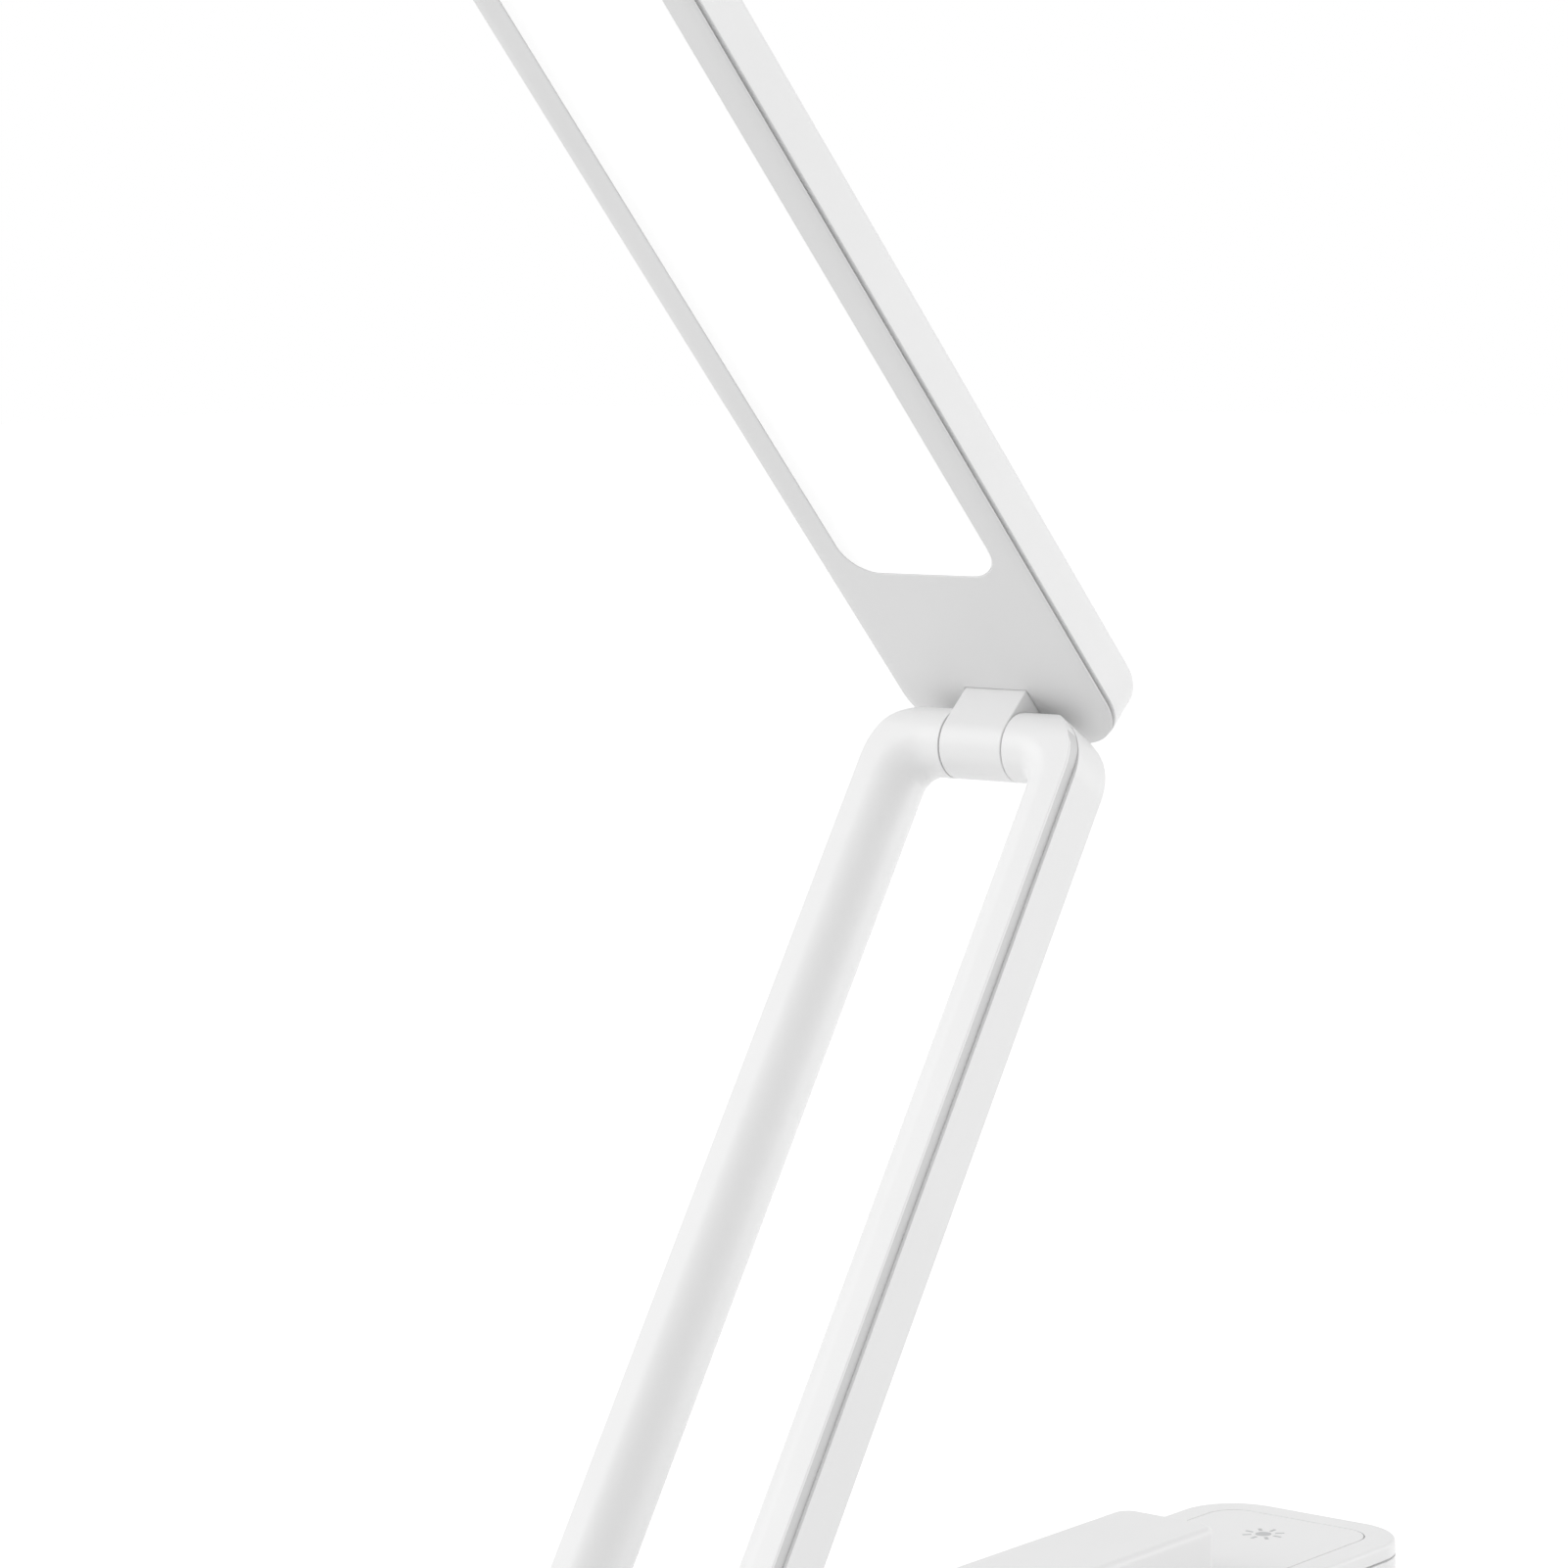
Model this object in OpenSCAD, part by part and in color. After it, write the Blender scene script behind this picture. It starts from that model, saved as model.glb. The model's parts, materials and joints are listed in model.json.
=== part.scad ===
// Folding LED desk lamp. A flat base holds the battery in a raised island, a loop-shaped arm folds
// down round that island, and a slim light head folds down over the arm.
// All sizes are in millimetres. The base lies on the desk, +X runs from the arm's hinge towards the
// touch end, +Z is up, and the origin is the middle of the underside.

/* [Pose] */
// Angle of the arm above the base
arm_angle = 56.6; // [20:0.1:80]
// Angle of the light head above the horizontal
head_angle = 48; // [10:0.1:49]

/* [Base] */
// Length of the base
base_l = 220; // [216:0.5:240]
// Width of the base
base_w = 50; // [49:0.5:60]
// Height of the deck above the desk
base_h = 12.5; // [12.5:0.5:16]
// Corner radius of the base seen from above
base_corner_r = 13; // [11:0.5:15]
// Thickness of the base's floor
floor_t = 1.8; // [1.5:0.1:2.4]
// Thickness of the base's side wall
base_wall = 1.8; // [1.4:0.1:2.4]
// Width of the rim that frames the deck
rim_w = 6.2; // [5:0.1:7]
// Height of the rim's side, from its parting groove to the deck
rim_h = 3; // [2.6:0.1:3.6]
// Thickness of the deck plate
deck_t = 1.8; // [1.5:0.1:2.2]
// Height of the groove between rim and lower shell
groove_h = 0.5; // [0.3:0.1:0.8]
// Radius on the rim's top edge
rim_edge_r = 0.9; // [0.5:0.1:1.2]

/* [Battery island] */
// Width of the raised island
island_w = 23.6; // [23:0.1:25]
// Height of the island above the deck
island_rise = 10.6; // [10:0.1:14]
// Distance from the touch end to the island
island_gap = 52.3; // [50:0.1:56]
// Wall thickness of the island
island_wall = 1.5; // [1.2:0.1:1.8]
// Radius on the island's top edges
island_edge_r = 1.5; // [1:0.1:2]
// Corner radius of the island seen from above
island_corner_r = 4; // [3:0.5:6]

/* [Battery and electronics] */
// Diameter of a battery cell
cell_d = 18.4; // [18:0.1:18.6]
// Length of a battery cell
cell_l = 65; // [60:0.5:66]
// Number of battery cells in line
cell_count = 2; // [1:1:2]
// Thickness of the control board
board_t = 1.2; // [0.8:0.1:1.6]
// Length of the control board
board_l = 44; // [40:0.5:46]
// Width of the control board
board_w = 34; // [30:0.5:36]
// Height of the control board's posts
post_h = 1.6; // [1.2:0.1:1.8]
// Diameter of the touch symbol
symbol_d = 9; // [7:0.5:12]
// Distance from the touch end to the touch symbol
symbol_gap = 20; // [18:0.5:24]

/* [Arm] */
// Distance between the arm's two hinge axes
arm_pitch = 188.5; // [186:0.5:190]
// Width of the arm's front shell
arm_w = 48; // [47:0.5:48.5]
// Depth of the arm
arm_depth = 13.2; // [12.6:0.1:13.6]
// Distance from the front shell's side to the middle of its half-round tube
tube_inset = 3.9; // [3.5:0.1:4.2]
// Bend radius of the tube's middle line at the elbows
elbow_r = 9; // [8:0.1:10]
// Corner radius of the arm seen from the front
arm_corner_r = 13; // [11:0.5:14]
// Wall thickness of the arm
arm_wall = 1.5; // [1.3:0.1:1.6]
// How far the rear band stands proud at the arm's sides
band_step = 0.3; // [0.2:0.1:0.6]
// Height of the front shell's side above the rear band
band_drop = 3.2; // [2.6:0.1:3.6]
// Height of the front shell's edge above the sunken strip
strip_drop = 0.6; // [0.4:0.1:0.8]
// Depth of the sunken strip along the arm's sides
strip_depth = 0.4; // [0.3:0.1:1]

/* [Head] */
// Width of the light head
head_w = 48.8; // [48:0.1:50]
// Width of the face plate
face_w = 48; // [47:0.1:48]
// Thickness of the light head
head_t = 11; // [10.5:0.1:12]
// How far the head runs past its hinge axis at the tail
head_tail = 7.8; // [7:0.1:8]
// Corner radius of the head seen from the front
head_corner_r = 11.8; // [9:0.1:13]
// Radius on the head's back edges
head_edge_r = 2.5; // [2:0.1:3]
// Thickness of the face plate
face_t = 1.8; // [1.5:0.1:2]
// Thickness of the face plate's edge
face_edge_t = 0.8; // [0.6:0.1:1]
// Height of the shadow gap between face plate and back cover
shadow_gap = 0.6; // [0.4:0.1:0.8]
// Width of the plain margin beside the diffuser
bezel_w = 6.2; // [5.8:0.1:8]
// Width of the plain margin at the head's tip
tip_margin = 8; // [6:0.5:14]
// Distance from the hinge axis to the diffuser
diffuser_start = 37; // [34:0.5:44]
// Corner radius of the diffuser
diffuser_corner_r = 7; // [5:0.5:9]
// Thickness of the diffuser
diffuser_t = 1.5; // [1.2:0.1:1.8]
// Thickness of the light guide
guide_t = 2.5; // [2:0.1:3]
// Number of LEDs along the light guide
led_count = 24; // [12:1:30]

/* [Hinges] */
// Height of the lower hinge axis above the deck
hinge_rise = 12.6; // [12.6:0.1:13.4]
// Distance from the base's end to the lower hinge axis
hinge_setback = 7.75; // [7.2:0.05:7.8]
// Distance from the upper hinge axis to the face plate
face_offset = 8.3; // [8.2:0.1:8.6]
// Width of a hinge knuckle
knuckle_w = 14.4; // [13:0.1:15]
// Outer diameter of the hollow axle
axle_d = 5; // [4.6:0.1:5.4]
// Bore of the hollow axle
axle_bore = 2.8; // [2.4:0.1:3]
// Outer diameter of a hinge bush
bush_d = 8; // [7.4:0.1:8.4]
// Thickness of the arm's end walls round the axle
end_wall = 2.5; // [2:0.1:2.8]
// Diameter of the leads
lead_d = 1.8; // [1.4:0.1:2]

/* [Fits] */
// Running clearance round an axle, on the radius
running_gap = 0.05; // [0.02:0.01:0.08]
// Clearance between a knuckle and the arm's end walls
side_gap = 0.3; // [0.2:0.05:0.4]
// Clearance between fixed pieces that fit into each other
seat_gap = 0.1; // [0.05:0.01:0.15]
// Width of the visible seams between covers
seam_gap = 0.25; // [0.2:0.05:0.3]

/* [Hidden] */
$fn = 64;

// Cutting bodies run this far past what they cut
over = 1;

// Levels in the base
pad_t = 1.4;
pad_recess = 0.6;
shell_z = pad_t - pad_recess;
floor_z = shell_z + floor_t;
deck_under = base_h - deck_t;
rim_z = base_h - rim_h;
island_top = base_h + island_rise;
inner_w = base_w - 2 * base_wall;
deck_corner_r = base_corner_r - rim_w;
deck_l = base_l - 2 * rim_w - 2 * seam_gap;
deck_w = base_w - 2 * rim_w - 2 * seam_gap;

// Hinge axes in the row's frame
lower_x = -base_l / 2 + hinge_setback;
lower_z = base_h + hinge_rise;
upper_x = lower_x + arm_pitch * cos(arm_angle);
upper_z = lower_z + arm_pitch * sin(arm_angle);
tube_r = arm_depth / 2;
knuckle_half = knuckle_w / 2;
stub_start = knuckle_half + side_gap;
stub_end = stub_start + end_wall;

// Island along the base
island_x1 = base_l / 2 - island_gap;
island_hinge_gap = 3;
island_x0 = lower_x + tube_r + island_hinge_gap;
island_l = island_x1 - island_x0;
battery_gap = 0.4;
battery_end_gap = 0.8;
battery_lift = 0.2;
battery_l = cell_count * cell_l + (cell_count - 1) * battery_gap;
battery_x1 = island_x1 - island_wall - battery_end_gap;
battery_z = floor_z + battery_lift + cell_d / 2;

// Control board at the touch end
board_end_gap = 2;
board_x1 = base_l / 2 - base_wall - board_end_gap;
board_x0 = board_x1 - board_l;
board_z = floor_z + post_h;
symbol_x = base_l / 2 - symbol_gap;

// Arm, seen in its own frame: lower axis at the origin, upper axis at +X, front face at +Z
tube_y = arm_w / 2 - tube_inset;
band_z = tube_r - band_drop;

// Head, seen in its own frame: upper axis at the origin, tip at +X, back at +Z
head_tip = arm_pitch + hinge_setback;
head_l = head_tip + head_tail;
head_mid = (head_tip - head_tail) / 2;
cover_z = face_offset + face_edge_t + shadow_gap;
back_z = face_offset + head_t;
cover_wall = 1.6;
window_l = head_tip - tip_margin - diffuser_start;
window_w = face_w - 2 * bezel_w;
window_mid = diffuser_start + window_l / 2;

// Screws
screw_d = 2;
screw_head_d = 3.4;
screw_head_h = 1.2;
slot_l = 2;
slot_w = 0.5;
slot_depth = 0.7;
boss_d = 4;
// Threads are drawn plain, in a hole of this size
thread_clearance = 0.1;
thread_d = screw_d + thread_clearance;
// Hole that a screw passes through freely
pass_clearance = 0.4;
pass_d = screw_d + pass_clearance;
pass_head_d = screw_head_d + pass_clearance;
// Room past a screw's tip
tip_gap = 0.5;
case_screw_l = 7.5;
board_screw_l = 3.6;
bracket_screw_l = 5.5;
arm_screw_l = 6;

// ---------------------------------------------------------------- shared shapes

// Rectangle with round corners, centred
module rounded_rect(l, w, r) {
    square([l - 2 * r, w], center = true);
    square([l, w - 2 * r], center = true);
    for (sx = [-1, 1], sy = [-1, 1])
        translate([sx * (l / 2 - r), sy * (w / 2 - r)]) circle(r);
}

// Upright block with round corners
module rounded_block(l, w, r, z0, z1) {
    translate([0, 0, z0]) linear_extrude(z1 - z0) rounded_rect(l, w, r);
}

// Half of a section with a round top edge and a round bottom edge, from the middle outwards.
// Over the outer run, its underside may rise by drop
module edged_half(half, h, r_low, r_high, run, drop) {
    difference() {
        square([half, h]);
        if (run > 0)
            polygon([[half - run, 0], [half + run, 2 * drop], [half + run, -over], [half - run, -over]]);
        if (r_high > 0) difference() {
            translate([half - r_high, h - r_high]) square(r_high + over);
            translate([half - r_high, h - r_high]) circle(r_high);
        }
        if (r_low > 0) difference() {
            translate([half - r_low, -over]) square([r_low + over, r_low + over]);
            translate([half - r_low, r_low]) circle(r_low);
        }
    }
}

// Block with round corners seen from above, and rounded or slanting edges
module soft_block(l, w, r, z0, z1, r_low, r_high, run = 0, drop = 0) {
    h = z1 - z0;
    translate([0, 0, z0]) {
        for (sx = [0, 1], sy = [0, 1]) mirror([sx, 0, 0]) mirror([0, sy, 0]) {
            translate([l / 2 - r, w / 2 - r, 0]) rotate_extrude(angle = 90)
                edged_half(r, h, r_low, r_high, run, drop);
        }
        for (a = [0, 180]) rotate([0, 0, a]) {
            translate([-l / 2 + r, 0, 0]) rotate([90, 0, 90])
                linear_extrude(l - 2 * r) edged_half(w / 2, h, r_low, r_high, run, drop);
            translate([l / 2 - r, w / 2 - r, 0]) rotate([90, 0, 0])
                linear_extrude(w - 2 * r) edged_half(r, h, r_low, r_high, run, drop);
        }
    }
}

// Countersunk pan-head screw, head down, its tip pointing up
module screw(length) {
    difference() {
        union() {
            cylinder(d = screw_head_d, h = screw_head_h);
            cylinder(d = screw_d, h = length);
        }
        for (a = [0, 90]) rotate([0, 0, a]) translate([-slot_l / 2, -slot_w / 2, -over])
            cube([slot_l, slot_w, over + slot_depth]);
    }
}

// Places its children in the arm's frame
module on_arm() {
    translate([lower_x, 0, lower_z]) rotate([0, -arm_angle, 0]) children();
}

// Places its children in the head's frame
module on_head() {
    translate([upper_x, 0, upper_z]) rotate([0, head_angle, 0]) rotate([0, 0, 180]) children();
}

// ---------------------------------------------------------------- base

pad_end_gap = 15;
pad_side_gap = 8;
pad_corner_r = 6;
pad_l = base_l - 2 * pad_end_gap;
pad_w = base_w - 2 * pad_side_gap;
case_boss_d = 4.6;
case_boss_gap = 0.6;
case_socket_h = 1.4;
case_screw_back = 34;
case_screw_front = 54;
case_screw_x = [-base_l / 2 + case_screw_back, base_l / 2 - case_screw_front];
case_screw_y = deck_w / 2 - case_boss_d / 2 - case_boss_gap;
board_screw_inset = 3;
board_screw_front = 10;
board_screw_x = [board_x0 + board_screw_inset, board_x1 - board_screw_front];
board_screw_y = board_w / 2 - board_screw_inset;
shell_edge_r = 2;
lip_inset = 1;

module anti_slip_pad() {
    color("dimgray") rounded_block(pad_l, pad_w, pad_corner_r, 0, pad_t);
}

module case_screw_places() {
    for (x = case_screw_x, s = [-1, 1]) translate([x, s * case_screw_y, 0]) children();
}

module board_screw_places() {
    for (x = board_screw_x, s = [-1, 1]) translate([x, s * board_screw_y, 0]) children();
}

// Cradle ribs that carry the cells
rib_x = [for (i = [0 : 2 * cell_count - 1]) battery_x1 - cell_l * (0.5 * i + 0.25)];
rib_t = 1.6;
rib_h = 4.4;
rib_inset = 0.7;
rib_w = cell_d - 2 * rib_inset;

module base_lower_shell() {
    color("whitesmoke") difference() {
        union() {
            difference() {
                soft_block(base_l, base_w, base_corner_r, shell_z, rim_z - groove_h, shell_edge_r, 0);
                rounded_block(base_l - 2 * base_wall, inner_w, base_corner_r - base_wall,
                    floor_z, base_h);
            }
            // Lip inside the groove that carries the rim
            difference() {
                rounded_block(base_l - 2 * lip_inset, base_w - 2 * lip_inset, base_corner_r - lip_inset,
                    floor_z, rim_z);
                rounded_block(base_l - 2 * base_wall, inner_w, base_corner_r - base_wall,
                    floor_z - over, base_h);
            }
            // Cradle ribs
            for (x = rib_x) translate([x - rib_t / 2, -rib_w / 2, floor_z]) cube([rib_t, rib_w, rib_h]);
            // Posts of the control board
            board_screw_places() translate([0, 0, floor_z]) cylinder(d = boss_d, h = post_h);
            // Sockets round the case screws
            case_screw_places() translate([0, 0, floor_z]) cylinder(d = case_boss_d, h = case_socket_h);
            // Posts of the hinge bracket
            bracket_screw_places() translate([0, 0, floor_z])
                cylinder(d = boss_d, h = bracket_z - floor_z);
        }
        // Recess of the anti-slip pad
        rounded_block(pad_l + 2 * seat_gap, pad_w + 2 * seat_gap, pad_corner_r + seat_gap, -over, pad_t);
        // Battery cells
        translate([battery_x1 - battery_l - over, 0, battery_z]) rotate([0, 90, 0])
            cylinder(d = cell_d + 2 * seat_gap, h = battery_l + 2 * over);
        case_screw_places() {
            translate([0, 0, -over]) cylinder(d = screw_d + 2 * seat_gap, h = base_h);
            translate([0, 0, -over]) cylinder(d = screw_head_d + 2 * seat_gap,
                h = over + pad_t + screw_head_h + 2 * seat_gap);
        }
        board_screw_places() translate([0, 0, floor_z]) cylinder(d = thread_d, h = base_h);
        bracket_screw_places() translate([0, 0, floor_z]) cylinder(d = thread_d, h = base_h);
        usb_opening();
        light_pipe_opening();
    }
}

module base_rim() {
    ledge_w = 2;
    ledge_corner_r = 2;
    color("white") difference() {
        soft_block(base_l, base_w, base_corner_r, rim_z, base_h, 0, rim_edge_r);
        rounded_block(base_l - 2 * rim_w, base_w - 2 * rim_w, deck_corner_r, base_h - deck_t, base_h + over);
        rounded_block(base_l - 2 * rim_w - 2 * ledge_w, base_w - 2 * rim_w - 2 * ledge_w,
            ledge_corner_r, rim_z - over, base_h);
        // Room for the hinge bracket and its lug
        translate([lower_x + bracket_x0 - side_gap, -bracket_w / 2 - side_gap, rim_z - over])
            cube([bracket_l + 2 * side_gap, bracket_w + 2 * side_gap, over + deck_under - rim_z + over]);
        lug_passage();
        case_screw_places() translate([0, 0, rim_z - over])
            cylinder(d = case_boss_d, h = over + deck_under - rim_z + over);
        usb_opening();
    }
}

// Opening for the hinge lug in the top of the base
module lug_passage() {
    translate([lower_x - arm_depth / 2 - seam_gap, -knuckle_half - seam_gap, rim_z - over])
        cube([arm_depth + 2 * seam_gap, knuckle_w + 2 * seam_gap, base_h]);
}

module island_outside() {
    translate([(island_x0 + island_x1) / 2, 0, 0])
        soft_block(island_l, island_w, island_corner_r, base_h - deck_t / 2, island_top,
            0, island_edge_r);
}

module island_inside() {
    translate([(island_x0 + island_x1) / 2, 0, 0])
        rounded_block(island_l - 2 * island_wall, island_w - 2 * island_wall,
            island_corner_r - island_wall, deck_under - over, island_top - island_wall);
}

module base_deck() {
    color("white") difference() {
        union() {
            rounded_block(deck_l, deck_w, deck_corner_r - seam_gap, deck_under, base_h);
            island_outside();
            // Bosses that take the case screws
            case_screw_places() translate([0, 0, floor_z + case_socket_h + seat_gap])
                cylinder(d = case_boss_d - 4 * seat_gap,
                    h = deck_under - floor_z - case_socket_h - seat_gap);
        }
        island_inside();
        case_screw_places() translate([0, 0, pad_t]) cylinder(d = thread_d, h = case_screw_l + tip_gap);
        lug_passage();
        // Sunk touch symbol
        translate([symbol_x, 0, base_h - symbol_t]) symbol_shape(seat_gap / 2);
    }
}

symbol_t = 0.4;
ray_count = 8;

// Sun mark: a disc with short rays, grown by a margin
module symbol_shape(grow) {
    linear_extrude(symbol_t + grow) {
        circle(d = symbol_d * 0.36 + 2 * grow);
        for (i = [0 : ray_count - 1]) rotate([0, 0, i * 360 / ray_count])
            translate([symbol_d * 0.38, 0])
                square([symbol_d * 0.2 + 2 * grow, symbol_d * 0.075 + 2 * grow], center = true);
    }
}

module touch_symbol() {
    color("silver") translate([symbol_x, 0, base_h - symbol_t]) symbol_shape(0);
}

electrode_margin = 1;
electrode_t = 0.5;
sleeve_d = 6;
sleeve_wall = 0.6;

// Disc under the touch symbol on a sleeve that stands on the board
module touch_electrode() {
    disc_z = deck_under - seat_gap - electrode_t;
    color("goldenrod") translate([symbol_x, 0, 0]) {
        translate([0, 0, disc_z]) cylinder(d = symbol_d + 2 * electrode_margin, h = electrode_t);
        translate([0, 0, board_z + board_t]) difference() {
            cylinder(d = sleeve_d, h = disc_z - board_z - board_t);
            translate([0, 0, -over]) cylinder(d = sleeve_d - 2 * sleeve_wall, h = base_h);
        }
    }
}

module control_board() {
    color("forestgreen") difference() {
        translate([board_x0, -board_w / 2, board_z]) cube([board_l, board_w, board_t]);
        board_screw_places() translate([0, 0, board_z - over]) cylinder(d = pass_d, h = board_t + 2 * over);
    }
}

chip_w = 6;
chip_h = 1.6;
coil_w = 6;
coil_h = 3;

// Block on the board, placed by its shares of the board's length and width
module on_board(along, across, l, w, h) {
    translate([board_x0 + along * board_l, across * board_w, board_z + board_t]) cube([l, w, h]);
}

// Controller, charger, driver, coil and a small part, from the cells outwards
module board_components() {
    color("darkslategray") {
        on_board(0.18, -0.24, chip_w, chip_w, chip_h);
        on_board(0.18, 0.12, chip_w * 0.7, chip_w * 0.7, chip_h * 0.75);
        on_board(0.3, 0.26, chip_w / 2, chip_w * 0.8, chip_h * 0.75);
        on_board(0.5, -0.32, coil_w, coil_w, coil_h);
        on_board(0.55, 0.24, chip_w / 2, chip_w / 4, chip_h / 2);
    }
}

usb_w = 8.94;
usb_h = 3.2;
usb_l = 7.4;
usb_wall = 0.35;
usb_back_t = 1;
usb_recess = 0.4;
usb_x1 = base_l / 2 - usb_recess;
usb_z = board_z + board_t + usb_h / 2;

// Flat tube with round sides along X, from x0 to x1
module stadium_bar(w, h, x0, x1) {
    translate([x0, 0, 0]) rotate([90, 0, 90]) linear_extrude(x1 - x0) {
        square([w - h, h], center = true);
        for (s = [-1, 1]) translate([s * (w - h) / 2, 0]) circle(d = h);
    }
}

module usb_opening() {
    translate([0, 0, usb_z]) stadium_bar(usb_w + 2 * seat_gap, usb_h + 2 * seat_gap, usb_x1 - usb_l,
        base_l / 2 + over);
}

module usb_socket() {
    color("silver") translate([0, 0, usb_z]) difference() {
        stadium_bar(usb_w, usb_h, usb_x1 - usb_l, usb_x1);
        stadium_bar(usb_w - 2 * usb_wall, usb_h - 2 * usb_wall, usb_x1 - usb_l + usb_back_t, usb_x1 + over);
    }
}

tongue_w = 6.6;
tongue_t = 0.7;
tongue_recess = 0.8;

module usb_tongue() {
    color("black") translate([usb_x1 - usb_l + usb_back_t, -tongue_w / 2, usb_z - tongue_t / 2])
        cube([usb_l - usb_back_t - tongue_recess, tongue_w, tongue_t]);
}

light_y = 9.5;
pipe_d = 1.6;
pipe_recess = 0.2;
pipe_overlap = 0.6;
lamp_chip_w = 1.6;
lamp_chip_h = 0.8;
lamp_chip_gap = 0.2;

module light_pipe_opening() {
    translate([base_l / 2 - base_wall - over, light_y, usb_z]) rotate([0, 90, 0])
        cylinder(d = pipe_d + 2 * seat_gap, h = base_wall + 2 * over);
}

module charge_light() {
    color("lightcyan") {
        translate([board_x1 - pipe_overlap - lamp_chip_gap - lamp_chip_w, light_y - lamp_chip_w / 2,
            board_z + board_t]) cube([lamp_chip_w, lamp_chip_w, lamp_chip_h]);
        translate([board_x1 - pipe_overlap, light_y, usb_z]) rotate([0, 90, 0])
            cylinder(d = pipe_d, h = base_l / 2 - pipe_recess - board_x1 + pipe_overlap);
    }
}

module battery_cells() {
    color("steelblue") for (i = [0 : cell_count - 1])
        translate([battery_x1 - (i + 1) * cell_l - i * battery_gap, 0, battery_z]) rotate([0, 90, 0])
            cylinder(d = cell_d, h = cell_l);
}

cell_tab_t = 0.3;
cell_tab_w = 6;
cell_tab_inset = 1;

module battery_tabs() {
    tab_h = cell_d - 2 * cell_tab_inset;
    color("silver") {
        for (x = [battery_x1, battery_x1 - battery_l - cell_tab_t])
            translate([x, -cell_tab_w / 2, battery_z - tab_h / 2]) cube([cell_tab_t, cell_tab_w, tab_h]);
        if (cell_count > 1) translate([battery_x1 - cell_l - (battery_gap + cell_tab_t) / 2,
            -cell_tab_w / 2, battery_z - cell_tab_w]) cube([cell_tab_t, cell_tab_w, 2 * cell_tab_w]);
    }
}

weight_w = 7;
weight_l = 92;
weight_h = 6;
weight_gap = 0.4;
weight_offset = 6;
weight_x0 = case_screw_x[0] + weight_offset;

module counterweights() {
    weight_y = inner_w / 2 - weight_w / 2 - weight_gap;
    color("dimgray") for (s = [-1, 1]) translate([weight_x0, s * weight_y - weight_w / 2, floor_z])
        cube([weight_l, weight_w, weight_h]);
}

module case_screws() {
    color("silver") case_screw_places() translate([0, 0, pad_t + seat_gap]) screw(case_screw_l);
}

module board_screws() {
    color("silver") board_screw_places() translate([0, 0, board_z + board_t + screw_head_h])
        rotate([180, 0, 0]) screw(board_screw_l);
}

// ---------------------------------------------------------------- hinge brackets

bracket_t = 2.4;
bracket_z = deck_under - seat_gap - bracket_t;
bracket_l = 16;
bracket_w = 32;
bracket_end_gap = 1;
bracket_x0 = -hinge_setback + base_wall + bracket_end_gap;
bracket_screw_inset = 4;
bracket_screw_x = [bracket_x0 + bracket_screw_inset, bracket_x0 + bracket_l - bracket_screw_inset];
bracket_screw_y = 13;
lead_clearance = 1;

module bracket_screw_places() {
    for (x = bracket_screw_x, s = [-1, 1]) translate([lower_x + x, s * bracket_screw_y, 0]) children();
}

// Knuckle on its lug, axis along Y at the origin, the lug reaching down by drop
module knuckle(drop) {
    rotate([90, 0, 0]) cylinder(d = arm_depth, h = knuckle_w, center = true);
    translate([-arm_depth / 2, -knuckle_half, -drop]) cube([arm_depth, knuckle_w, drop]);
}

// Bore of the bushes with the lead's way down through the lug
module knuckle_bore(drop) {
    rotate([90, 0, 0]) cylinder(d = bush_d, h = knuckle_w + 2 * over, center = true);
    translate([0, 0, -drop - over]) cylinder(d = lead_d + lead_clearance, h = drop + over);
}

module base_hinge_bracket() {
    color("white") difference() {
        union() {
            translate([lower_x, 0, lower_z]) knuckle(lower_z - rim_z - side_gap);
            translate([lower_x + bracket_x0, -bracket_w / 2, bracket_z])
                cube([bracket_l, bracket_w, bracket_t]);
        }
        translate([lower_x, 0, lower_z]) knuckle_bore(lower_z - bracket_z);
        bracket_screw_places() {
            translate([0, 0, bracket_z - over]) cylinder(d = pass_d, h = bracket_t + 2 * over);
            translate([0, 0, bracket_z + bracket_t - screw_head_h])
                cylinder(d = pass_head_d, h = screw_head_h + over);
        }
    }
}

module bracket_screws() {
    color("silver") bracket_screw_places() translate([0, 0, bracket_z + bracket_t])
        rotate([180, 0, 0]) screw(bracket_screw_l);
}

// A lead that leaves the axle starts this far from the axis
lead_start = axle_d / 2 + lead_d / 2 + 2 * seat_gap;

// Centre-line radius of a lead's bends
lead_bend_r = 2.5;

// Round lead along points that turn square, with a bend at each corner
module lead_path(points) {
    last = len(points) - 1;
    dirs = [for (i = [0 : last - 1]) (points[i + 1] - points[i]) / norm(points[i + 1] - points[i])];
    for (i = [0 : last - 1]) {
        start = points[i] + (i == 0 ? 0 : lead_bend_r) * dirs[i];
        end = points[i + 1] - (i == last - 1 ? 0 : lead_bend_r) * dirs[i];
        translate(start) rotate([0, acos(dirs[i][2]), atan2(dirs[i][1], dirs[i][0])])
            cylinder(d = lead_d, h = norm(end - start), $fn = 32);
    }
    for (i = [1 : last - 1]) {
        u = dirs[i - 1];
        v = dirs[i];
        w = cross(u, v);
        c = points[i] + lead_bend_r * (v - u);
        multmatrix([[-v[0], u[0], w[0], c[0]], [-v[1], u[1], w[1], c[1]], [-v[2], u[2], w[2], c[2]]])
            rotate_extrude(angle = 90, $fn = 32) translate([lead_bend_r, 0]) circle(d = lead_d);
    }
}

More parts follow.
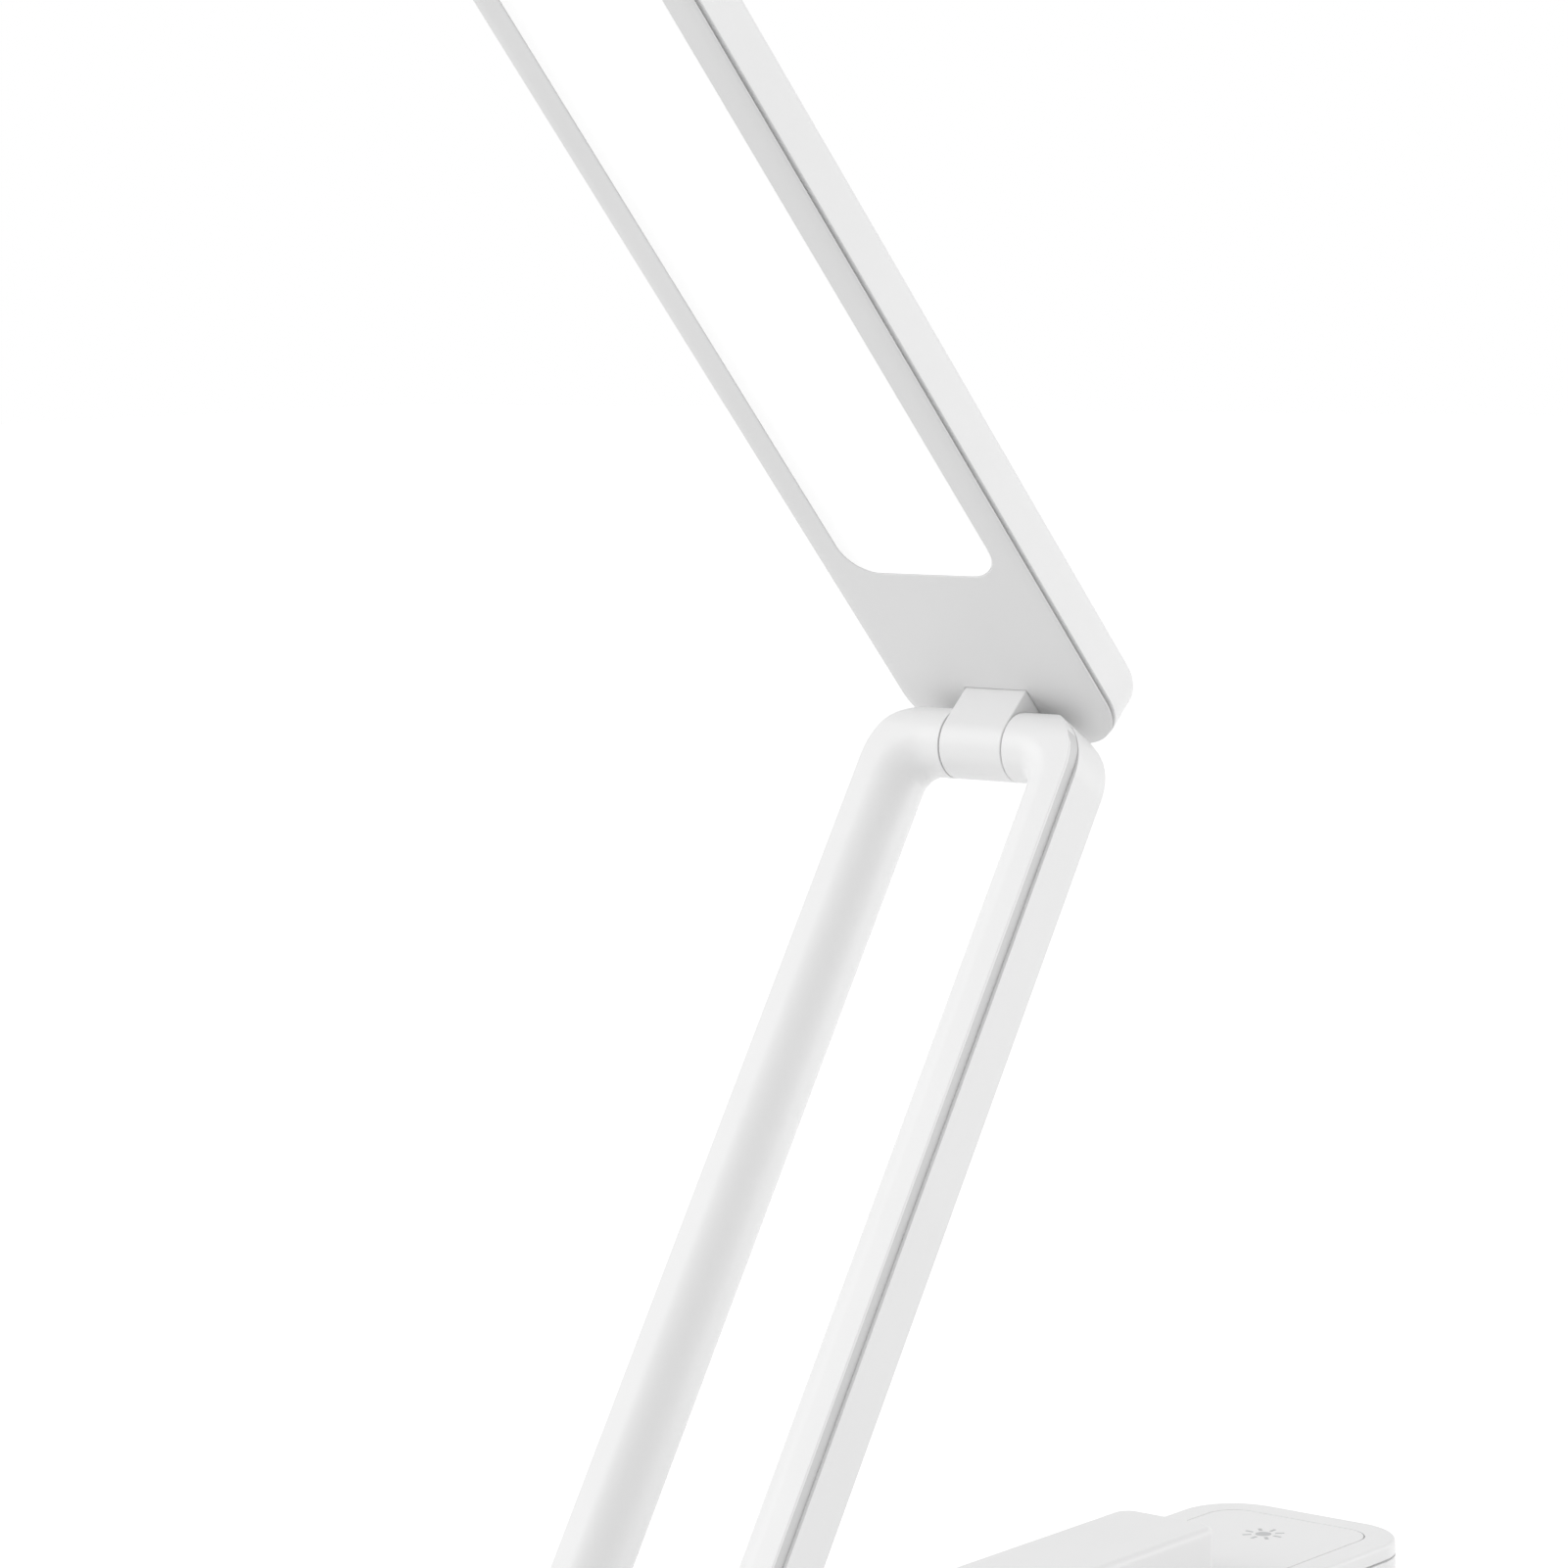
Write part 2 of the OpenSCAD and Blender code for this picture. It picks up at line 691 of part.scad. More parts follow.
// Down through the lug, along the floor beside the cradle ribs, to the board
module base_lead() {
    low = floor_z + lead_d / 2 + seat_gap;
    lane = rib_w / 2 + lead_d / 2 + seat_gap;
    turn_x = lower_x + tube_r + lead_d;
    color("black") lead_path([
        [lower_x, 0, lower_z - lead_start],
        [lower_x, 0, low],
        [turn_x, 0, low],
        [turn_x, lane, low],
        [board_x0 - lead_d, lane, low]]);
}

// ---------------------------------------------------------------- hinge hardware, axis along Y

axle_overhang = 3.6;
axle_half = stub_end + axle_overhang;
flange_d = 8.6;
flange_h = 1.2;
washer_t = 0.5;
nut_d = 9;
nut_h = 2.8;
// Half of the room between the bushes, and of the window in the axle, where the lead passes
bush_start = 1.8;
window_half = 1.6;

module hinge_axle() {
    color("silver") difference() {
        union() {
            rotate([90, 0, 0]) cylinder(d = axle_d, h = 2 * axle_half, center = true);
            translate([0, stub_end + washer_t + flange_h, 0]) rotate([90, 0, 0])
                cylinder(d = flange_d, h = flange_h);
        }
        rotate([90, 0, 0]) cylinder(d = axle_bore, h = 2 * (axle_half + over), center = true);
        // Window for the lead
        translate([-axle_d, -window_half, -axle_d]) cube([2 * axle_d, 2 * window_half, axle_d]);
    }
}

module hinge_bushes() {
    color("ivory") for (s = [-1, 1]) translate([0, s * (knuckle_half + bush_start) / 2, 0])
        rotate([90, 0, 0]) difference() {
            cylinder(d = bush_d - 2 * running_gap, h = knuckle_half - bush_start, center = true);
            cylinder(d = axle_d + 2 * running_gap, h = knuckle_w, center = true);
        }
}

module hinge_washers() {
    color("silver") for (s = [-1, 1]) translate([0, s * (stub_end + washer_t / 2), 0])
        rotate([90, 0, 0]) difference() {
            cylinder(d = flange_d, h = washer_t, center = true);
            cylinder(d = axle_d + 2 * seat_gap, h = washer_t + 2 * over, center = true);
        }
}

module hinge_nut() {
    color("silver") translate([0, -stub_end - washer_t - seat_gap, 0]) rotate([90, 0, 0]) difference() {
        cylinder(d = nut_d, h = nut_h, $fn = 6);
        translate([0, 0, -over]) cylinder(d = axle_d + 2 * running_gap, h = nut_h + 2 * over);
    }
}

module lower_axle() {
    on_arm() hinge_axle();
}

module lower_bushes() {
    translate([lower_x, 0, lower_z]) hinge_bushes();
}

module lower_washers() {
    on_arm() hinge_washers();
}

module lower_nut() {
    on_arm() hinge_nut();
}

module upper_axle() {
    on_arm() translate([arm_pitch, 0, 0]) rotate([0, 180, 0]) hinge_axle();
}

module upper_bushes() {
    on_head() hinge_bushes();
}

module upper_washers() {
    on_arm() translate([arm_pitch, 0, 0]) hinge_washers();
}

module upper_nut() {
    on_arm() translate([arm_pitch, 0, 0]) hinge_nut();
}

// ---------------------------------------------------------------- arm

// Bar with the outline seen from the front and the round ends seen from the side
module arm_slab(half_w, corner, radius) {
    intersection() {
        translate([arm_pitch / 2, 0, -arm_depth]) linear_extrude(2 * arm_depth)
            rounded_rect(arm_pitch + 2 * radius, 2 * half_w, corner);
        rotate([90, 0, 0]) linear_extrude(arm_w + 10, center = true) {
            translate([0, -radius]) square([arm_pitch, 2 * radius]);
            for (x = [0, arm_pitch]) translate([x, 0]) circle(radius);
        }
    }
}

// Everything inside the tube's middle line, right through
module arm_middle(grow) {
    translate([arm_pitch / 2, 0, -arm_depth]) linear_extrude(2 * arm_depth)
        rounded_rect(arm_pitch + 2 * grow, 2 * (tube_y + grow), elbow_r + grow);
}

// Half of the tube's ring-shaped section, the half that faces into the loop
module half_ring() {
    difference() {
        circle(tube_r);
        circle(tube_r - arm_wall);
        translate([0, -arm_depth]) square(2 * arm_depth);
    }
}

// One quarter of the loop's half-round inside wall, at the lower end and the +Y side
module quarter_loop() {
    translate([elbow_r, tube_y, 0]) rotate([90, 0, 90])
        linear_extrude(arm_pitch / 2 - elbow_r) half_ring();
    translate([elbow_r, tube_y - elbow_r, 0]) rotate([0, 0, 90])
        rotate_extrude(angle = 90) translate([elbow_r, 0]) half_ring();
    translate([0, stub_end, 0]) rotate([90, 0, 180])
        linear_extrude(tube_y - elbow_r - stub_end) half_ring();
}

// Repeats a child that stands at the lower end for the upper end as well
module both_ends() {
    for (e = [0, 1]) translate([e * arm_pitch, 0, 0]) mirror([e, 0, 0]) children();
}

// Room between the two legs: the whole -Y side, and the loop's ends up to y
module inner_room(y) {
    translate([-2 * tube_r, -arm_w, -2 * tube_r]) cube([arm_pitch + 4 * tube_r, arm_w, 4 * tube_r]);
    for (x = [0, arm_pitch]) translate([x - 2 * tube_r, -over, -2 * tube_r])
        cube([4 * tube_r, over + y, 4 * tube_r]);
}

// Everything behind the height z
module behind(z) {
    translate([-3 * tube_r, -arm_w, z - 3 * arm_depth])
        cube([arm_pitch + 6 * tube_r, 2 * arm_w, 3 * arm_depth]);
}

arm_screw_inset = 26;
arm_screw_offset = 0.6;
arm_screw_x = [arm_screw_inset, arm_pitch - arm_screw_inset];
arm_screw_y = tube_y + arm_screw_offset;
arm_boss_d = 3.4;
boss_skin = 0.8;
tab_r = 2.6;
tab_drop = 0.2;
tab_t = 1.9;
head_sink = 1.3;

// Screws of the leg on the +Y side
module leg_screw_places() {
    for (x = arm_screw_x) translate([x, arm_screw_y, 0]) children();
}

// Front shell of the leg on the +Y side
module leg_shell() {
    boss_z = -tube_r + tab_drop + tab_t + seat_gap;
    difference() {
        union() {
            difference() {
                arm_slab(arm_w / 2, arm_corner_r, tube_r);
                arm_slab(arm_w / 2 - arm_wall, arm_corner_r - arm_wall, tube_r - arm_wall);
                arm_middle(0);
                behind(band_z);
                inner_room(stub_end);
                // Sunken strip along the side
                difference() {
                    behind(tube_r - strip_drop);
                    translate([arm_pitch / 2, 0, 0]) rounded_block(arm_pitch + arm_depth + 2 * over,
                        arm_w - 2 * strip_depth, arm_corner_r, -arm_depth, arm_depth);
                }
            }
            both_ends() quarter_loop();
            // End walls round the axles
            both_ends() translate([0, stub_start + end_wall / 2, 0]) rotate([90, 0, 0])
                cylinder(r = tube_r, h = end_wall, center = true);
            // Bosses of the arm's screws
            leg_screw_places() translate([0, 0, boss_z])
                cylinder(d = arm_boss_d, h = tube_r - boss_skin - boss_z);
        }
        both_ends() rotate([90, 0, 0])
            cylinder(d = axle_d + 2 * running_gap, h = 2 * stub_end + 2 * over, center = true);
        leg_screw_places() {
            translate([0, 0, boss_z - arm_depth]) cylinder(r = tab_r + seat_gap, h = arm_depth);
            translate([0, 0, -tube_r]) cylinder(d = thread_d, h = arm_screw_l + 2 * tip_gap);
        }
    }
}

// Rear band of the leg on the +Y side
module leg_band() {
    band_wall = band_step + arm_wall - 2 * seat_gap;
    difference() {
        union() {
            difference() {
                arm_slab(arm_w / 2 + band_step, arm_corner_r + band_step, tube_r);
                arm_slab(arm_w / 2 + band_step - band_wall, arm_corner_r + band_step - band_wall,
                    tube_r - arm_wall);
                arm_middle(seam_gap / 2);
                translate([0, 0, band_z - seam_gap / 2]) mirror([0, 0, 1]) behind(0);
                inner_room(stub_end + seam_gap);
            }
            // Round tabs that take the screws' heads
            leg_screw_places() translate([0, 0, -tube_r + tab_drop]) cylinder(r = tab_r, h = tab_t);
        }
        leg_screw_places() translate([0, 0, -tube_r - over]) {
            cylinder(d = pass_d, h = arm_depth / 2);
            cylinder(d = screw_head_d + seat_gap, h = over + head_sink);
        }
    }
}

module left_leg_shell() {
    color("white") on_arm() leg_shell();
}

module right_leg_shell() {
    color("white") on_arm() mirror([0, 1, 0]) leg_shell();
}

module left_leg_band() {
    color("white") on_arm() leg_band();
}

module right_leg_band() {
    color("white") on_arm() mirror([0, 1, 0]) leg_band();
}

module arm_screws() {
    color("silver") on_arm() for (s = [0, 1]) mirror([0, s, 0]) leg_screw_places()
        translate([0, 0, -tube_r + head_sink - screw_head_h]) screw(arm_screw_l);
}

arm_lead_inset = 3;
arm_lead_start = 1.2;

// Out of the lower axle's bore, along the left leg, into the upper axle's bore
module arm_lead() {
    side = tube_y - arm_lead_inset;
    color("black") on_arm() lead_path([
        [0, -arm_lead_start, 0],
        [0, side, 0],
        [arm_pitch, side, 0],
        [arm_pitch, -arm_lead_start, 0]]);
}

// ---------------------------------------------------------------- head

head_rib_t = 1.2;
head_rib_pitch = 32;

module head_back_cover() {
    color("white") on_head() difference() {
        union() {
            difference() {
                translate([head_mid, 0, 0])
                    soft_block(head_l, head_w, head_corner_r, cover_z, back_z, 0, head_edge_r);
                translate([head_mid, 0, 0]) rounded_block(head_l - 2 * cover_wall,
                    head_w - 2 * cover_wall, head_corner_r - cover_wall, cover_z - over,
                    back_z - cover_wall);
            }
            // Ribs that press the light guide's stack to the face plate
            for (x = [diffuser_start + head_rib_pitch / 2 : head_rib_pitch : head_tip - tip_margin])
                translate([x - head_rib_t / 2, -window_w / 2, stack_z])
                    cube([head_rib_t, window_w, back_z - cover_wall / 2 - stack_z]);
            // Bosses of the hinge bracket
            head_screw_places() translate([0, 0, bracket_top])
                cylinder(d = boss_d, h = back_z - boss_skin - bracket_top);
        }
        head_screw_places() translate([0, 0, bracket_top - over])
            cylinder(d = thread_d, h = over + bracket_screw_l - bracket_t + tip_gap);
        // Room for the hinge lug behind the tail's wall
        translate([-arm_depth / 2 - seat_gap, -knuckle_half - seat_gap, cover_z - over])
            cube([arm_depth, knuckle_w + 2 * seat_gap, over + bracket_top - cover_z]);
    }
}

diffuser_gap = seat_gap;
guide_lift = face_t - diffuser_t;
guide_z = face_offset + diffuser_t + seat_gap;
reflector_z = guide_z + guide_t + seat_gap;
reflector_t = 0.3;
stack_z = reflector_z + reflector_t + seat_gap;
face_lip = 1;
edge_run = 2.2;
edge_drop = 0.35;

// Face plate: flat in the middle, falling away a little towards its edge
module head_face_plate() {
    skirt_h = 2.6;
    skirt_t = 1.5;
    edge_corner_drop = 0.2;
    color("gainsboro") on_head() difference() {
        union() {
            translate([head_mid, 0, 0])
                soft_block(head_l, face_w, head_corner_r - edge_corner_drop,
                    face_offset, face_offset + face_edge_t, 0, 0, edge_run, edge_drop);
            // Body of the plate with a skirt that plugs into the back cover
            translate([head_mid, 0, 0]) difference() {
                rounded_block(head_l - 2 * cover_wall - 2 * seat_gap, head_w - 2 * cover_wall - 2 * seat_gap,
                    head_corner_r - cover_wall, face_offset + face_edge_t / 2,
                    face_offset + face_t + skirt_h);
                rounded_block(head_l - 2 * cover_wall - 2 * skirt_t, head_w - 2 * cover_wall - 2 * skirt_t,
                    head_corner_r - cover_wall - skirt_t, face_offset + face_t, back_z);
            }
        }
        // Room for the hinge bracket inside the skirt
        translate([head_bracket_x0 - 3 * cover_wall, -bracket_w / 2 - side_gap, face_offset + face_t])
            cube([head_bracket_l + 3 * cover_wall, bracket_w + 2 * side_gap, skirt_h + over]);
        translate([window_mid, 0, 0]) rounded_block(window_l, window_w, diffuser_corner_r,
            face_offset - over, back_z);
        // Passage of the hinge lug
        translate([0, 0, face_offset]) cube([arm_depth + 2 * seat_gap, knuckle_w + 2 * seat_gap,
            4 * face_t], center = true);
    }
}

module diffuser() {
    color("white") on_head() translate([window_mid, 0, 0])
        rounded_block(window_l - 2 * diffuser_gap, window_w - 2 * diffuser_gap,
            diffuser_corner_r - diffuser_gap, face_offset, face_offset + diffuser_t);
}

guide_l = window_l + 2 * face_lip;
guide_side_gap = 0.5;
guide_w = window_w - 2 * guide_side_gap;

module light_guide() {
    color("aliceblue") on_head() translate([window_mid - guide_l / 2, -guide_w / 2, guide_z + guide_lift])
        cube([guide_l, guide_w, guide_t - guide_lift]);
}

module reflector_sheet() {
    color("snow") on_head() translate([window_mid - guide_l / 2, -guide_w / 2, reflector_z])
        cube([guide_l, guide_w, reflector_t]);
}

led_l = 3;
led_h = 2;
led_y = guide_w / 2 + seat_gap;
led_depth = 0.8;
led_board_t = 0.8;
led_board_h = 4;
led_board_y = led_y + led_depth;

module led_board() {
    color("white") on_head() translate([window_mid - guide_l / 2, led_board_y, guide_z + guide_lift])
        cube([guide_l, led_board_t, led_board_h]);
}

module leds() {
    pitch = guide_l / led_count;
    color("khaki") on_head() for (i = [0 : led_count - 1])
        translate([window_mid - guide_l / 2 + (i + 0.5) * pitch - led_l / 2, led_y, guide_z + guide_lift])
            cube([led_l, led_depth, led_h]);
}

bracket_top = face_offset + face_t + seat_gap + bracket_t;
head_bracket_gap = 2;
head_bracket_x0 = -head_tail + cover_wall + head_bracket_gap;
head_bracket_l = 24;
head_bracket_x1 = head_bracket_x0 + head_bracket_l;
head_screw_inset = 3.5;
head_screw_pitch = 7.5;
head_screw_x = [head_bracket_x1 - head_screw_inset - head_screw_pitch, head_bracket_x1 - head_screw_inset];

module head_screw_places() {
    for (x = head_screw_x, s = [-1, 1]) translate([x, s * bracket_screw_y, 0]) children();
}

module head_hinge_bracket() {
    drop = bracket_top;
    color("white") on_head() difference() {
        union() {
            mirror([0, 0, 1]) knuckle(drop);
            translate([head_bracket_x0, -bracket_w / 2, bracket_top - bracket_t])
                cube([head_bracket_l, bracket_w, bracket_t]);
        }
        mirror([0, 0, 1]) knuckle_bore(drop);
        head_screw_places() {
            translate([0, 0, bracket_top - bracket_t - over]) {
                cylinder(d = pass_d, h = bracket_t + 2 * over);
                cylinder(d = pass_head_d, h = over + screw_head_h);
            }
        }
    }
}

module head_screws() {
    color("silver") on_head() head_screw_places()
        translate([0, 0, bracket_top - bracket_t]) screw(bracket_screw_l);
}

head_lead_rise = 1.8;
head_lead_turn = 9;
head_lead_end = 3;
head_lead_inset = 2;

// Up through the lug, over the bracket, to the LED board's end
module head_lead() {
    top = bracket_top + head_lead_rise;
    turn_x = diffuser_start - head_lead_turn;
    side = window_w / 2 - head_lead_inset;
    color("black") on_head() lead_path([
        [0, 0, lead_start],
        [0, 0, top],
        [turn_x, 0, top],
        [turn_x, side, top],
        [diffuser_start + head_lead_end, side, top]]);
}

// ---------------------------------------------------------------- drawing

anti_slip_pad();
base_lower_shell();
base_rim();
base_deck();
touch_symbol();
touch_electrode();
control_board();
board_components();
usb_socket();
usb_tongue();
charge_light();
battery_cells();
battery_tabs();
counterweights();
case_screws();
board_screws();
base_hinge_bracket();
bracket_screws();
base_lead();
left_leg_shell();
right_leg_shell();
left_leg_band();
right_leg_band();
arm_screws();
arm_lead();
lower_axle();
lower_bushes();
lower_washers();
lower_nut();
upper_axle();
upper_bushes();
upper_washers();
upper_nut();
head_back_cover();
head_face_plate();
head_hinge_bracket();
head_screws();
diffuser();
light_guide();
reflector_sheet();
led_board();
leds();
head_lead();
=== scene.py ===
"""Looks of a folding LED desk lamp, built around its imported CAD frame."""

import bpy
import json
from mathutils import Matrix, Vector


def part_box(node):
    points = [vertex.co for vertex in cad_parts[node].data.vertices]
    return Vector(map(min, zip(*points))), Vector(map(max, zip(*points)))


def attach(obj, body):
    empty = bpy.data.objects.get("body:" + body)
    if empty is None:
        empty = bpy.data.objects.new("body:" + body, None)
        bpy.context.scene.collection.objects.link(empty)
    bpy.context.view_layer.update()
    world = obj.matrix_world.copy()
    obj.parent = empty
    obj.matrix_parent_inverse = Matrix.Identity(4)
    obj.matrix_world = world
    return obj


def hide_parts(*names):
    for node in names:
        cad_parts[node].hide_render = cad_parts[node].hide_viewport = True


bl_info = {
    "name": "Folding Desk Lamp",
    "version": (1, 0, 0),
    "blender": (4, 5, 0),
    "location": "View3D > Sidebar > Lamp",
    "description": "Builds the finished pieces of a folding LED desk lamp on its CAD frame",
    "category": "Object",
}

import json
import math

import bmesh
import bpy
from bpy.props import FloatProperty, FloatVectorProperty, PointerProperty
from mathutils import Matrix, Vector

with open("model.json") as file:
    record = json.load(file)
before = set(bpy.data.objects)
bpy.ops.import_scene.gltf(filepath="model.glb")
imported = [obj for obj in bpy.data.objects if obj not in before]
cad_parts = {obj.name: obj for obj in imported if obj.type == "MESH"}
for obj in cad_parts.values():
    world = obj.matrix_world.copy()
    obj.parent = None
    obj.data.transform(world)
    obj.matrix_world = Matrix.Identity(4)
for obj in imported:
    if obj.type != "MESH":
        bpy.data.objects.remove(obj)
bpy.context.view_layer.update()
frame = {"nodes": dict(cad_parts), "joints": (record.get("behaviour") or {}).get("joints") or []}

MM = 0.001
TURN = {joint["name"]: Vector(joint["pos_m"]) for joint in frame["joints"]}

# The strip sunk into the arm's sides, whose faces get painted shade: its middle's height in front of the
# hinge axes, and how far from it the middles of its faces lie at most
STRIP_MIDDLE = 4.7 * MM
STRIP_REACH = 1.2 * MM
# A face points sideways when its normal has at least this share along Y
SIDEWAYS = 0.8

# The CAD meshes: corners closer than this are one, and faces that turn less than this are one flat face
WELD = 0.002 * MM
FLAT_TURN = math.radians(0.3)
# Edges that turn more than this get a radius, and split the shading
SHARP_TURN = math.radians(40)
# Shorter edges than these get no radius: on wide shells, on slim pieces and on the diffuser
WIDE_SHORTEST = 0.9 * MM
SLIM_SHORTEST = 0.5 * MM
PANEL_SHORTEST = 0.3 * MM
# Steps that each of these radii is made of
MOULD_SEGMENTS = 3

# The anti-slip pad: round corners seen from above, a soft lower edge and a crisp upper one
PAD_CORNER = 6 * MM
PAD_LOWER_EDGE = 0.3 * MM
PAD_UPPER_EDGE = 0.05 * MM
# Steps in a slab's round corners and in the radii on its rims
CORNER_SEGMENTS = 14
RIM_SEGMENTS = 4
# Corners of a slab whose heights differ by less than this are on one level
SAME_LEVEL = 0.001 * MM

# The diffuser's emission at its far side and over most of its width, and the share of the width between
FAR_GLOW = 0.11
FULL_GLOW = 0.28
GLOW_RISE = 0.3

# How much the floor glows where it is seen, so that it comes out white
FLOOR_LIFT = 0.45
# The studio, in metres: the floor's half width, the two square lamps and the point they light
FLOOR_HALF = 6
LAMP_WIDTH = 0.9
KEY_PLACE = Vector((-0.8, 0.95, 0.7))
FILL_PLACE = Vector((1.0, -0.85, 0.3))
LIT_POINT = Vector((0, 0, 0.12))

# The photo's camera: its turn, and its place from the upper hinge in widths of the arm
ARM_WIDTH = 48 * MM
PHOTO_YAW = math.radians(40.04)
PHOTO_PITCH = math.radians(-6.16)
PHOTO_ROLL = math.radians(-0.92)
PHOTO_EYE = Vector((-15.133, -11.66, 1.9232))


# ---------------------------------------------------------------- colours and nodes


def srgb(code):
    """Linear colour with alpha from a six-digit sRGB hex code."""
    channels = [int(code[i:i + 2], 16) / 255 for i in (0, 2, 4)]
    return tuple(c / 12.92 if c <= 0.04045 else ((c + 0.055) / 1.055) ** 2.4 for c in channels) + (1.0,)


def add_node(tree, kind, values=None, links=None, **settings):
    """Adds a node, sets its properties and input values, and links sockets to its inputs."""
    node = tree.nodes.new(kind)
    for key, value in settings.items():
        setattr(node, key, value)
    for key, value in (values or {}).items():
        node.inputs[key].default_value = value
    for key, socket in (links or {}).items():
        tree.links.new(socket, node.inputs[key])
    return node


def start_material(name, **values):
    """A material with one Principled shader, whose constant values stand on its own sockets."""
    material = bpy.data.materials.new(name)
    material.use_nodes = True
    tree = material.node_tree
    tree.nodes.clear()
    shader = add_node(tree, "ShaderNodeBsdfPrincipled",
                      {key.replace("_", " "): value for key, value in values.items()})
    add_node(tree, "ShaderNodeOutputMaterial", links={"Surface": shader.outputs["BSDF"]})
    return material, tree, shader


def object_place(tree):
    """The Object coordinates socket that every pattern here is laid out on."""
    return add_node(tree, "ShaderNodeTexCoord").outputs["Object"]


def grain(tree, shader, size_mm, depth_mm, strength):
    """Bumps of one size all over a surface, such as the spark-eroded skin of a mould."""
    noise = add_node(tree, "ShaderNodeTexNoise",
                     {"Scale": 1 / (size_mm * MM), "Detail": 2.0, "Roughness": 0.55},
                     {"Vector": object_place(tree)})
    bump = add_node(tree, "ShaderNodeBump", {"Strength": strength, "Distance": depth_mm * MM},
                    {"Height": noise.outputs["Fac"]})
    tree.links.new(bump.outputs["Normal"], shader.inputs["Normal"])


def uneven(tree, shader, socket, size_mm, low, high):
    """A slow change of a number or a colour across a surface, from low to high."""
    noise = add_node(tree, "ShaderNodeTexNoise", {"Scale": 1 / (size_mm * MM), "Detail": 3.0},
                     {"Vector": object_place(tree)})
    if isinstance(low, tuple):
        ramp = add_node(tree, "ShaderNodeValToRGB", links={"Fac": noise.outputs["Fac"]})
        ramp.color_ramp.elements[0].position = 0.3
        ramp.color_ramp.elements[1].position = 0.7
        ramp.color_ramp.elements[0].color = low
        ramp.color_ramp.elements[1].color = high
        tree.links.new(ramp.outputs["Color"], shader.inputs[socket])
    else:
        span = add_node(tree, "ShaderNodeMapRange", {"To Min": low, "To Max": high},
                        {"Value": noise.outputs["Fac"]})
        tree.links.new(span.outputs["Result"], shader.inputs[socket])


def background_rays(tree):
    """1 for the rays that show the background: the camera's, and those from metal and glass."""
    path = add_node(tree, "ShaderNodeLightPath")
    direct = add_node(tree, "ShaderNodeMath", operation="MAXIMUM",
                      links={0: path.outputs["Is Camera Ray"], 1: path.outputs["Is Glossy Ray"]})
    either = add_node(tree, "ShaderNodeMath", operation="MAXIMUM",
                      links={0: direct.outputs[0], 1: path.outputs["Is Transmission Ray"]})
    return either.outputs[0]


# ---------------------------------------------------------------- materials


def moulded_abs(name, light, dark, roughness):
    """ABS from a finely eroded mould: soft wide highlights, with barely a trace of grain."""
    material, tree, shader = start_material(name, IOR=1.53)
    uneven(tree, shader, "Base Color", size_mm=60, low=srgb(dark), high=srgb(light))
    uneven(tree, shader, "Roughness", size_mm=12, low=roughness - 0.03, high=roughness + 0.05)
    # The real grain is about 0.05 mm; it is drawn at 0.4 mm, the finest that shows
    grain(tree, shader, size_mm=0.4, depth_mm=0.004, strength=0.35)
    return material


def opal_acrylic():
    """Opal acrylic lit from one side: it glows evenly, and less along the far side."""
    material, tree, shader = start_material(
        "lit_opal_acrylic", Base_Color=srgb("FDFDFD"), IOR=1.49, Roughness=0.42)
    place = add_node(tree, "ShaderNodeTexCoord").outputs["UV"]
    apart = add_node(tree, "ShaderNodeSeparateXYZ", links={"Vector": place})
    edge = add_node(tree, "ShaderNodeMapRange",
                    {"From Min": 0.0, "From Max": GLOW_RISE, "To Min": FAR_GLOW, "To Max": FULL_GLOW},
                    {"Value": apart.outputs["Y"]}, interpolation_type="SMOOTHSTEP")
    shader.inputs["Emission Color"].default_value = srgb("FFFFFF")
    tree.links.new(edge.outputs["Result"], shader.inputs["Emission Strength"])
    return material


def silicone_rubber():
    """Silicone rubber from an open mould: dull, with a fine skin that gathers dust."""
    material, tree, shader = start_material("silicone_rubber", IOR=1.41)
    uneven(tree, shader, "Base Color", size_mm=9, low=srgb("4A4A4C"), high=srgb("56565A"))
    uneven(tree, shader, "Roughness", size_mm=5, low=0.72, high=0.85)
    grain(tree, shader, size_mm=0.5, depth_mm=0.02, strength=0.6)
    return material


def nickel_plate():
    """Nickel plate on turned steel: bright, with fine turning marks that blur its reflections."""
    material, tree, shader = start_material("nickel_plated_steel", Metallic=1.0)
    uneven(tree, shader, "Base Color", size_mm=3, low=srgb("B9B8B4"), high=srgb("CAC9C6"))
    uneven(tree, shader, "Roughness", size_mm=0.6, low=0.2, high=0.34)
    grain(tree, shader, size_mm=0.2, depth_mm=0.002, strength=0.4)
    return material


def powder_coat():
    """Polyester powder coat on die-cast zinc, in the shells' white: a faint orange peel."""
    material, tree, shader = start_material("powder_coated_zinc", IOR=1.5)
    uneven(tree, shader, "Base Color", size_mm=40, low=srgb("EFEFEF"), high=srgb("F2F2F2"))
    uneven(tree, shader, "Roughness", size_mm=8, low=0.34, high=0.4)
    grain(tree, shader, size_mm=0.9, depth_mm=0.006, strength=0.35)
    return material


def moulded_inlay():
    """A moulded inlay in pale grey ABS, matt, so the touch mark only just stands out."""
    material, tree, shader = start_material("moulded_abs_pale_grey", IOR=1.53)
    uneven(tree, shader, "Base Color", size_mm=5, low=srgb("C6C7C8"), high=srgb("CDCECF"))
    uneven(tree, shader, "Roughness", size_mm=2, low=0.55, high=0.65)
    return material


